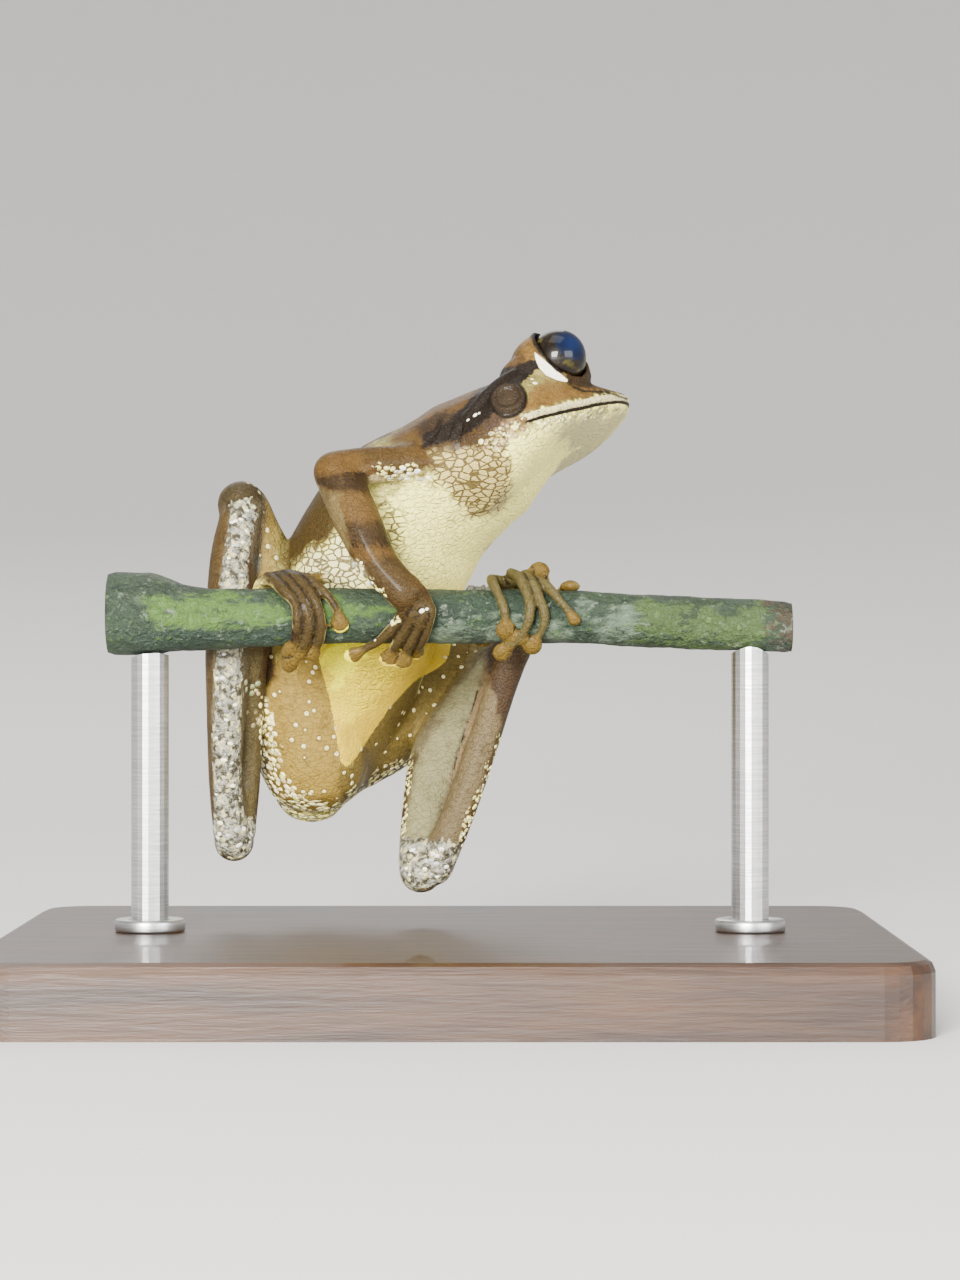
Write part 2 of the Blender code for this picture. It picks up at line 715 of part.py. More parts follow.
def make_hand_right(grow=0.0):
    """Make the right hand, clasping the front of the stem."""
    palm = [
        (*WRIST_RIGHT, 1.4, 1.1),
        (*on_stem(-3.0, 68, 1.4), 1.65, 1.05),
        (*on_stem(-2.7, 86, 1.3), 1.75, 0.95),
        (*on_stem(-2.7, 101, 1.1), 1.5, 0.75),
    ]
    pieces = [tube(palm, (1, 0, 0), sides=12, grow=grow)]
    routes = (
        ((-3.4, 77, 1.4), (-4.1, 92, 1.1), (-4.8, 109, 0.9), (-5.6, 128, 0.8), (-6.5, 146, 0.8),
         (-7.4, 156, 0.8), (-8.2, 163, 1.2)),
        ((-2.9, 85, 1.5), (-3.5, 105, 1.1), (-4.2, 127, 0.9), (-4.8, 150, 1.0), (-5.3, 164, 1.5)),
        ((-2.3, 88, 1.5), (-2.7, 108, 1.1), (-3.2, 130, 0.95), (-3.7, 154, 1.1), (-4.0, 166, 1.7)),
        ((-1.6, 82, 1.3), (-1.8, 104, 1.0), (-2.2, 128, 0.8), (-2.6, 152, 0.7), (-2.9, 176, 0.8)),
    )
    for route in routes:
        pieces += make_digit(route, NEAR_DIGIT, grow)
    return fuse(pieces)


def make_hand_left(grow=0.0):
    """Make the left hand, reaching over the stem from behind."""
    palm = [
        (*WRIST_LEFT, 1.3, 1.0),
        (*on_stem(5.5, -58, 1.6), 1.6, 1.0),
        (*on_stem(5.7, -34, 1.4), 1.8, 0.9),
        (*on_stem(5.8, -16, 1.2), 1.5, 0.75),
    ]
    pieces = [tube(palm, (1, 0, 0), sides=12, grow=grow)]
    routes = (
        ((4.9, -32, 1.2), (3.4, -6, 1.1), (3.7, 32, 1.0), (4.2, 56, 0.8), (4.6, 76, 0.7),
         (4.7, 95, 0.6), (4.7, 116, 0.5)),
        ((5.4, -26, 1.5), (5.1, -2, 1.6), (5.9, 20, 1.4), (6.4, 47, 1.1), (6.8, 72, 0.9),
         (6.7, 96, 0.8), (6.2, 120, 0.75), (5.3, 142, 0.85), (4.4, 156, 1.2)),
        ((6.2, -24, 1.4), (6.4, 0, 1.5), (6.9, 30, 1.2), (7.6, 58, 0.9), (8.0, 82, 0.8),
         (8.0, 104, 0.75), (7.5, 124, 0.75), (7.0, 142, 0.9)),
    )
    for route in routes:
        pieces += make_digit(route, FAR_DIGIT, grow)
    outer = (
        (7.0, -22, 1.2), (7.4, 12, 1.1), (8.3, 37, 1.0), (9.1, 57, 0.85), (9.9, 76, 0.7), (10.5, 94, 0.5),
    )
    pieces += make_digit(outer, SLIM_DIGIT, grow)
    return fuse(pieces)


def make_foot_right(grow=0.0):
    """Make the right foot, over the top of the stem and down its front."""
    sole = [
        (-16.1, 4.8, 33.8, 1.4, 0.9),
        (*on_stem(-15.7, -48, 1.2), 1.6, 0.85),
        (*on_stem(-15.0, -22, 1.2), 1.9, 0.8),
        (*on_stem(-14.4, 0, 1.1), 1.7, 0.65),
    ]
    pieces = [tube(sole, (1, 0, 0.3), sides=12, grow=grow)]
    routes = (
        ((-15.5, -4, 1.0), (-15.0, 18, 0.95), (-14.0, 46, 0.9), (-13.0, 66, 0.75), (-12.8, 88, 0.75),
         (-12.9, 112, 0.7), (-13.1, 134, 0.7), (-13.4, 152, 0.9)),
        ((-14.6, -4, 1.1), (-13.7, 22, 0.95), (-12.7, 50, 0.78), (-12.0, 78, 0.68), (-11.8, 104, 0.65),
         (-12.1, 133, 0.8), (-12.8, 151, 1.05), (-13.6, 167, 1.75)),
        ((-14.0, -2, 1.2), (-12.9, 24, 1.2), (-11.75, 52, 1.05), (-11.0, 78, 0.9), (-10.7, 102, 0.85),
         (-10.9, 132, 0.8), (-11.7, 157, 1.1)),
        ((-13.7, -4, 1.2), (-12.5, 16, 1.2), (-11.3, 38, 1.1), (-10.3, 56, 0.95), (-9.5, 76, 0.75),
         (-9.2, 104, 0.5)),
        ((-13.6, -12, 1.1), (-12.2, -8, 1.1), (-10.6, -4, 1.0)),
    )
    for route in routes:
        pieces += make_digit(route, NEAR_DIGIT, grow)
    return fuse(pieces)


def make_foot_left(grow=0.0):
    """Make the left foot, against the back of the stem with its toes on top."""
    sole = [
        (5.6, 5.9, 30.2, 1.4, 1.0),
        (*on_stem(7.0, -92, 1.4), 1.7, 0.9),
        (*on_stem(8.2, -72, 1.3), 1.7, 0.8),
    ]
    pieces = [tube(sole, (1, 0, 0.3), sides=12, grow=grow)]
    routes = (
        ((6.4, -104, 1.2), (4.6, -122, 0.7), (2.8, -140, 0.5)),
        ((8.4, -84, 1.2), (10.4, -96, 0.7), (12.0, -112, 0.5)),
        ((9.0, -76, 1.2), (11.2, -76, 0.7), (13.4, -80, 0.5)),
        ((8.8, -66, 1.2), (9.5, -40, 0.9), (10.2, -12, 0.6)),
    )
    for route in routes:
        pieces += make_digit(route, FAR_DIGIT, grow)
    raised = ((8.2, -66, 1.5), (8.2, -44, 2.0), (8.0, -22, 2.1), (7.6, -3, 1.7))
    pieces += make_digit(raised, FAR_DIGIT, grow, facing=RAISED_DISC_FACING)
    return fuse(pieces)


def finish(piece, name, colour, roughness, metallic=0.0):
    """Name a piece, colour it, scale it to metres and shade its round faces smooth."""
    keep_largest(piece)
    piece.name = name
    piece.data.name = name
    material = bpy.data.materials.new(name)
    material.use_nodes = True
    shader = material.node_tree.nodes["Principled BSDF"]
    shader.inputs["Base Color"].default_value = (*colour, 1.0)
    shader.inputs["Roughness"].default_value = roughness
    shader.inputs["Metallic"].default_value = metallic
    piece.data.materials.clear()
    piece.data.materials.append(material)
    piece.data.transform(Matrix.Scale(METRES_PER_MM, 4))
    piece.data.shade_smooth()
    piece.data.set_sharp_from_angle(angle=math.radians(SHARP_DEGREES))


BROWN = (0.30, 0.17, 0.08)
CREAM = (0.80, 0.74, 0.52)
BRONZE = (0.12, 0.07, 0.03)
GREEN = (0.10, 0.22, 0.08)
WOOD = (0.25, 0.14, 0.07)
STEEL = (0.55, 0.55, 0.55)

# Each part of the body: its maker, its colour and the parts already made that it stays clear of
LIMBS = (
    ("thigh_right", make_thigh_right, BROWN, ("torso",)),
    ("shank_right", make_shank_right, BROWN, ("torso", "thigh_right")),
    ("tarsus_right", make_tarsus_right, BROWN, ("torso", "thigh_right", "shank_right")),
    ("foot_right", make_foot_right, BROWN, ("thigh_right", "shank_right", "tarsus_right")),
    ("thigh_left", make_thigh_left, BROWN, ("torso",)),
    ("shank_left", make_shank_left, BROWN, ("torso", "thigh_left")),
    ("tarsus_left", make_tarsus_left, BROWN, ("torso", "thigh_left", "shank_left")),
    ("upper_arm_right", make_upper_arm_right, BROWN, ("torso",)),
    ("forearm_right", make_forearm_right, BROWN, ("torso", "upper_arm_right")),
    ("hand_right", make_hand_right, BROWN, ("forearm_right",)),
    ("upper_arm_left", make_upper_arm_left, BROWN, ("torso",)),
    ("forearm_left", make_forearm_left, BROWN, ("torso", "upper_arm_left", "thigh_left")),
    ("hand_left", make_hand_left, BROWN, ("forearm_left",)),
    ("foot_left", make_foot_left, BROWN, ("tarsus_left", "hand_left", "forearm_left")),
)


def main():
    """Build every node."""
    for item in list(bpy.data.objects):
        bpy.data.objects.remove(item)
    growers = {"torso": make_trunk}
    finish(make_stem(), "perch_stem", GREEN, 0.7)
    finish(make_base(), "stand_base", WOOD, 0.45)
    for name, x in (("stand_rod_left", -ROD_AT), ("stand_rod_right", ROD_AT)):
        finish(make_rod(x), name, STEEL, 0.3, 1.0)
    for name, side in (("eye_right", -1), ("eye_left", 1)):
        finish(make_eye(side), name, BRONZE, 0.15)
    finish(make_head(), "head", BROWN, 0.5)
    torso = make_torso()
    cut_away(torso, make_stem(GAP))
    finish(torso, "torso", CREAM, 0.5)
    for name, maker, colour, near in LIMBS:
        piece = maker()
        for other in near:
            cut_away(piece, growers[other](GAP))
        cut_away(piece, make_stem(GAP))
        growers[name] = maker
        finish(piece, name, colour, 0.5)


if __name__ == "__main__":
    main()
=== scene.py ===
"""A tree frog clinging to the back of a cut stem on a display stand, dressed around its solids.

Lengths are in metres in the meshes. Fields that paint the skin are worked out in millimetres.
Places in the picture are in pixels of a frame 960 wide and 1280 high.
"""

import json
import logging
import math
import random
from contextlib import contextmanager
from dataclasses import dataclass
from enum import Enum
from typing import Any, Callable, Iterator, Optional, Sequence, Union

import bpy
import numpy as np
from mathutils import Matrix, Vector
from mathutils.bvhtree import BVHTree

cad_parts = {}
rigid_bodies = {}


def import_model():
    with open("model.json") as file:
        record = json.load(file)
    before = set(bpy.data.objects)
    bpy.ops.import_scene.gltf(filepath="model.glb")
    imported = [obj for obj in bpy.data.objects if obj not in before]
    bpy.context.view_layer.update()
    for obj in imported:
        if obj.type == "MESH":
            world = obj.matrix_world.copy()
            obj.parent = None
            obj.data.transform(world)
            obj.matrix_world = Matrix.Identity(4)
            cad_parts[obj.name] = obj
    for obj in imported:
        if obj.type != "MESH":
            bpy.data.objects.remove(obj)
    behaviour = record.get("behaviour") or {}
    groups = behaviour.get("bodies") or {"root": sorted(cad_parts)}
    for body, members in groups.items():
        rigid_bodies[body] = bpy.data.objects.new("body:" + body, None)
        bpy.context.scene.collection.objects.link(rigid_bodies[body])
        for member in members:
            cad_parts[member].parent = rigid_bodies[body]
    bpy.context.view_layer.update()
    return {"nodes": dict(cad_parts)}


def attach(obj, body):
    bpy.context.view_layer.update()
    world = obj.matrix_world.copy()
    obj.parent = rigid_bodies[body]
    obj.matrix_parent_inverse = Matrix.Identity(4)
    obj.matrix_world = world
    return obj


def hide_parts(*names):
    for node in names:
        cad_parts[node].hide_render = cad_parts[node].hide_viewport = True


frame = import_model()

LOG = logging.getLogger("frog")
norm = np.linalg.norm
MM = 0.001
BODY = "root"

Array = np.ndarray
Piece = bpy.types.Object
Material = bpy.types.Material
Place = tuple[float, float, float]
Colour = tuple[float, float, float]
Outline = tuple[tuple[float, float], ...]

TINY = 1e-6
LUMINANCE = (0.21, 0.72, 0.07)
STUDIO_LIGHT = 4.6
PALEST = 0.95
RICHER = 1.18
LEAST_KEPT = 0.6
LIFT = 5
BRIGHT_CURVE = (1.6, 1.5, 2.6)


def unscreen(share: Array) -> Array:
    """Turn shares of the screen's range into linear light, by the curve of sRGB."""
    return np.where(share <= 0.04045, share / 12.92, ((share + 0.055) / 1.055) ** 2.4)


def paint(red: int, green: int, blue: int) -> Colour:
    """Turn a colour as it should look in the studio's light into paint.

    Args:
        red: the red on the screen, from 0 to 255.
        green: the green on the screen.
        blue: the blue on the screen.

    Returns:
        The paint in linear light; bright colours are made richer, because the picture softens them.
    """
    linear = unscreen(np.array((red, green, blue)) / 255)
    light = float(linear @ LUMINANCE)
    rich = np.maximum(light + (linear - light) * RICHER, LEAST_KEPT * linear)
    mixed = rich * (1 + LIFT * light ** 3) / STUDIO_LIGHT
    if mixed.max() > PALEST:
        mixed = PALEST * (linear / linear.max()) ** np.array(BRIGHT_CURVE)
    return tuple(float(value) for value in mixed)


def ease(low: float, high: float, value: Array) -> Array:
    """Rise smoothly from 0 at low to 1 at high.

    Args:
        low: the value where the result is 0.
        high: the value where the result is 1; it may be below low.
        value: the numbers to turn.

    Returns:
        An array of shares from 0 to 1.
    """
    share = np.clip((value - low) / (high - low), 0.0, 1.0)
    return share * share * (3 - 2 * share)


def ripple(points: Array, per_mm: float, seed: int, waves: int = 9, octaves: int = 2) -> Array:
    """Sum waves in many directions.

    Args:
        points: places in millimetres.
        per_mm: how many of the longest waves lie in a millimetre.
        seed: the start of the random draws.
        waves: how many directions are drawn for each octave.
        octaves: how many lengths of wave there are, each half as long and half as strong.

    Returns:
        A smooth uneven field, mostly between -1 and 1.
    """
    draw = np.random.default_rng(seed)
    total = np.zeros(len(points))
    for octave in range(octaves):
        aims = draw.normal(size=(waves, 3))
        aims *= 2 * math.pi * per_mm * 2 ** octave / norm(aims, axis=1)[:, None]
        turns = draw.uniform(0, 2 * math.pi, waves)
        total += np.sin(points @ aims.T + turns).sum(1) * 0.5 ** octave
    return total / 3.0


# --------------------------------------------------------------------------- the frog's own frame

SNOUT = np.array((15.9, 16.0, 51.8))
HEAD_FORWARD = np.array((0.81, 0.52, 0.28))
HEAD_LEFT = np.array((-0.36, 0.81, -0.47))
EYE_AT = (-8.55, 5.9, 3.8)
EYE_AXIS = (0.61, 0.78, 0.11)
EYE_RADIUS = 2.5
LID_FORWARD = -0.25
LID_RING = 2.88
MOUTH_F = (-20.4, -18.6, -16.2, -13.0, -9.8, -6.8, -4.3, -2.8, -1.85, -1.25, -0.95)
MOUTH_U = (-1.4, -1.4, -1.45, -1.5, -1.35, -1.05, -0.85, -0.7, -0.55, -0.45, -0.4)


class HeadFrame:
    """The head's own directions: forward along the snout, left and up."""

    def __init__(self) -> None:
        """Work out three directions at right angles."""
        self.forward = HEAD_FORWARD / norm(HEAD_FORWARD)
        left = HEAD_LEFT - self.forward * (HEAD_LEFT @ self.forward)
        self.left = left / norm(left)
        self.up = np.cross(self.forward, self.left)
        self.axes = np.stack([self.forward, self.left, self.up])

    def place(self, f: float, l: float, u: float) -> Array:
        """Turn head coordinates into a place in the world, in millimetres."""
        return SNOUT + np.array((f, l, u)) @ self.axes

    def read(self, points: Array) -> Array:
        """Turn places in the world into head coordinates."""
        return (points - SNOUT) @ self.axes.T

    def near_side(self, points: Array, normals: Array) -> tuple[Array, Array]:
        """Fold the head's far half onto the half that faces the viewer.

        Args:
            points: places in millimetres.
            normals: the skin's directions there.

        Returns:
            The folded places and directions.
        """
        own = self.read(points)
        flip = np.where(own[:, 1] > 0, -1.0, 1.0)
        own[:, 1] *= flip
        aims = normals @ self.axes.T
        aims[:, 1] *= flip
        return SNOUT + own @ self.axes, aims @ self.axes

    def eye(self, side: int) -> tuple[Array, Array]:
        """Return the middle and the gaze of the eye on one side, 1 for left and -1 for right."""
        gaze = np.array((EYE_AXIS[0], EYE_AXIS[1] * side, EYE_AXIS[2])) @ self.axes
        return self.place(EYE_AT[0], EYE_AT[1] * side, EYE_AT[2]), gaze / norm(gaze)


HEAD = HeadFrame()


@dataclass(frozen=True)
class Viewpoint:
    """The camera that sees the frog as the photograph does."""

    across: float = 2.55
    height: float = 30.78
    distance: float = 300.0
    scale: float = 0.085
    centre: tuple[int, int] = (480, 640)
    sensor: float = 36.0
    long_side: int = 1280
    clip_start: float = 0.01

    def pixels(self, points: Array) -> Array:
        """Return where places in millimetres land in the picture."""
        near = self.scale * (self.distance + points[:, 1]) / self.distance
        x = self.centre[0] + (points[:, 0] - self.across) / near
        y = self.centre[1] - (points[:, 2] - self.height) / near
        return np.stack([x, y], 1)

    def ray(self, x: float, y: float) -> tuple[Vector, Vector]:
        """Return the start and direction, in metres, of the line through one picture place."""
        start = Vector((self.across, -self.distance, self.height)) * MM
        aim = Vector((
            (x - self.centre[0]) * self.scale,
            self.distance,
            (self.centre[1] - y) * self.scale,
        ))
        return start, aim.normalized()

    def make(self) -> None:
        """Add the camera and make it the scene's own."""
        data = bpy.data.cameras.new("photo_camera")
        data.sensor_fit = "AUTO"
        data.sensor_width = self.sensor
        data.lens = self.sensor * self.distance / (self.scale * self.long_side)
        data.clip_start = self.clip_start
        camera = bpy.data.objects.new("photo_camera", data)
        camera.location = Vector((self.across, -self.distance, self.height)) * MM
        camera.rotation_euler = (math.pi / 2, 0, 0)
        bpy.context.scene.collection.objects.link(camera)
        bpy.context.scene.camera = camera


VIEW = Viewpoint()

STEM_X = (-29.0, -25.4, -23.8, -22.4, -20.4, -16.0, -8.5, 0.8, 11.0, 19.5, 29.0)
STEM_HEIGHT = (33.0, 33.0, 32.84, 32.62, 32.58, 32.68, 32.8, 32.82, 32.69, 32.3, 31.85)
STEM_RADIUS = (3.45, 3.45, 3.05, 2.72, 2.56, 2.4, 2.28, 2.23, 2.16, 2.18, 2.1)


def on_stem(x: float, degrees: float, height: float) -> Place:
    """Return a place over the stem; 0 degrees is its top and 90 faces the viewer."""
    angle = math.radians(degrees)
    reach = float(np.interp(x, STEM_X, STEM_RADIUS)) + height
    middle = float(np.interp(x, STEM_X, STEM_HEIGHT))
    return x, -reach * math.sin(angle), middle + reach * math.cos(angle)


SLENDER = (0.44, 0.94)
UNDER_STEM = 130
UNDER_DISC = (0.0, -0.86, -0.51)
RAISED_DISC = (0.2, -0.9, 0.4)


@dataclass(frozen=True)
class Digit:
    """A finger or toe: places over the stem as x, degrees and height, its half width and its disc."""

    route: tuple[Place, ...]
    wide: float = 0.46
    disc: float = 0.92
    raised: bool = False
    step: float = 0.14
    rounds: int = 14
    root: float = 1.12
    taper: float = 0.26
    knuckle: float = 0.07
    knuckle_pitch: float = 2.4

    def points(self) -> Array:
        """Return close places along the middle of the digit."""
        ends = np.array([on_stem(*place) for place in self.route])
        run = np.concatenate([[0.0], np.cumsum(norm(np.diff(ends, axis=0), axis=1))])
        steps = np.linspace(0.0, run[-1], int(run[-1] / self.step) + 2)
        polyline = np.stack([np.interp(steps, run, ends[:, axis]) for axis in range(3)], 1)
        for _ in range(self.rounds):
            polyline[1:-1] = 0.5 * polyline[1:-1] + 0.25 * (polyline[:-2] + polyline[2:])
        return polyline

    def girths(self, count: int) -> Array:
        """Return the half width at each place: it tapers and swells at the knuckles."""
        share = np.linspace(0.0, 1.0, count)
        knuckles = np.cos(2 * math.pi * share * (len(self.route) - 1) / self.knuckle_pitch)
        return self.wide * (self.root - self.taper * share) * (1 + self.knuckle * knuckles)

    def disc_axes(self) -> Array:
        """Return the directions along, across and out of the disc."""
        x, degrees, _ = self.route[-1]
        angle = math.radians(degrees)
        out = np.array((0.0, -math.sin(angle), math.cos(angle)))
        if degrees > UNDER_STEM:
            out = np.array(UNDER_DISC)
        if self.raised:
            out = np.array(RAISED_DISC)
        ends = [np.array(on_stem(*place)) for place in self.route[-2:]]
        along = ends[1] - ends[0]
        along -= out * (along @ out) / (out @ out)
        along /= norm(along)
        out /= norm(out)
        return np.stack([along, np.cross(out, along), out])


DIGITS: tuple[Digit, ...] = (
    Digit(((-3.4, 77, 1.4), (-4.1, 92, 1.1), (-4.8, 109, 0.9), (-5.6, 128, 0.8), (-6.5, 146, 0.8),
        (-7.4, 156, 0.8), (-8.2, 163, 1.2))),
    Digit(((-2.9, 85, 1.5), (-3.5, 105, 1.1), (-4.2, 127, 0.9), (-4.8, 150, 1.0),
        (-5.3, 164, 1.5))),
    Digit(((-2.3, 88, 1.5), (-2.7, 108, 1.1), (-3.2, 130, 0.95), (-3.7, 154, 1.1),
        (-4.0, 166, 1.7))),
    Digit(((-1.6, 82, 1.3), (-1.8, 104, 1.0), (-2.2, 128, 0.8), (-2.6, 152, 0.7),
        (-2.9, 176, 0.8))),
    Digit(((4.9, -32, 1.2), (3.4, -6, 1.1), (3.7, 32, 1.0), (4.2, 56, 0.8), (4.6, 76, 0.7),
        (4.7, 95, 0.6), (4.7, 116, 0.5)), *SLENDER),
    Digit(((5.4, -26, 1.5), (5.1, -2, 1.6), (5.9, 20, 1.4), (6.4, 47, 1.1), (6.8, 72, 0.9),
        (6.7, 96, 0.8), (6.2, 120, 0.75), (5.3, 142, 0.85), (4.4, 156, 1.2)), *SLENDER),
    Digit(((6.2, -24, 1.4), (6.4, 0, 1.5), (6.9, 30, 1.2), (7.6, 58, 0.9), (8.0, 82, 0.8),
        (8.0, 104, 0.75), (7.5, 124, 0.75), (7.0, 142, 0.9)), *SLENDER),
    Digit(((7.0, -22, 1.2), (7.4, 12, 1.1), (8.3, 37, 1.0), (9.1, 57, 0.85), (9.9, 76, 0.7),
        (10.5, 94, 0.5)), 0.44, 0.64),
    Digit(((-15.5, -4, 1.0), (-15.0, 18, 0.95), (-14.0, 46, 0.9), (-13.0, 66, 0.75),
        (-12.8, 88, 0.75), (-12.9, 112, 0.7), (-13.1, 134, 0.7), (-13.4, 152, 0.9))),
    Digit(((-14.6, -4, 1.1), (-13.7, 22, 0.95), (-12.7, 50, 0.78), (-12.0, 78, 0.68),
        (-11.8, 104, 0.65), (-12.1, 133, 0.8), (-12.8, 151, 1.05), (-13.6, 167, 1.75))),
    Digit(((-14.0, -2, 1.2), (-12.9, 24, 1.2), (-11.75, 52, 1.05), (-11.0, 78, 0.9),
        (-10.7, 102, 0.85), (-10.9, 132, 0.8), (-11.7, 157, 1.1))),
    Digit(((-13.7, -4, 1.2), (-12.5, 16, 1.2), (-11.3, 38, 1.1), (-10.3, 56, 0.95),
        (-9.5, 76, 0.75), (-9.2, 104, 0.5))),
    Digit(((-13.6, -12, 1.1), (-12.2, -8, 1.1), (-10.6, -4, 1.0))),
    Digit(((6.4, -104, 1.2), (4.6, -122, 0.7), (2.8, -140, 0.5)), *SLENDER),
    Digit(((8.4, -84, 1.2), (10.4, -96, 0.7), (12.0, -112, 0.5)), *SLENDER),
    Digit(((9.0, -76, 1.2), (11.2, -76, 0.7), (13.4, -80, 0.5)), *SLENDER),
    Digit(((8.8, -66, 1.2), (9.5, -40, 0.9), (10.2, -12, 0.6)), *SLENDER),
    Digit(((8.2, -66, 1.5), (8.2, -44, 2.0), (8.0, -22, 2.1), (7.6, -3, 1.7)), *SLENDER, True),
)
DIGIT_NODES = ("hand_right",) * 4 + ("hand_left",) * 4 + ("foot_right",) * 5 + ("foot_left",) * 5


class Coat(Enum):
    """How a part of the body is painted: its colour above, its colour below and its bars' pitch."""

    HEAD = (paint(146, 112, 66), paint(252, 246, 200), 9.0)
    TRUNK = (paint(132, 100, 60), paint(254, 248, 202), 7.5)
    THIGH = (paint(128, 98, 60), paint(210, 180, 112), 5.2)
    SHANK = (paint(128, 102, 68), paint(180, 166, 132), 5.4)
    TARSUS = (paint(128, 108, 74), paint(176, 156, 120), 4.6)
    ARM = (paint(136, 104, 64), paint(226, 206, 158), 4.8)
    DIGITS = (paint(124, 104, 66), paint(224, 208, 140), 3.4)


@dataclass(frozen=True)
class BodyPart:
    """A run of the body: its node, its paint, the way its back faces, and its axis with radii."""

    node: str
    coat: Coat
    back: Place
    edge: float
    axis: tuple[tuple[float, float, float, float], ...]

    def measure(self, points: Array) -> tuple[Array, Array, Array, Array]:
        """Set points against the part's axis.

        Args:
            points: places in millimetres.

        Returns:
            Distance from the axis in radii, length along the axis, the share of the offset
            that faces the part's back, and the radius there.
        """
        axis = np.array(self.axis)
        back = np.array(self.back) / norm(self.back)
        best = np.full(len(points), np.inf)
        along = np.zeros(len(points))
        facing = np.zeros(len(points))
        girth = np.ones(len(points))
        run = 0.0
        for here, there in zip(axis, axis[1:]):
            span = there[:3] - here[:3]
            length = float(norm(span))
            share = np.clip((points - here[:3]) @ span / length ** 2, 0.0, 1.0)
            offset = points - here[:3] - share[:, None] * span
            reach = norm(offset, axis=1) + TINY
            local = here[3] + (there[3] - here[3]) * share
            radii = reach / local
            closer = radii < best
            best = np.where(closer, radii, best)
            along = np.where(closer, run + share * length, along)
            facing = np.where(closer, offset @ back / reach, facing)
            girth = np.where(closer, local, girth)
            run += length
        return best, along, facing, girth


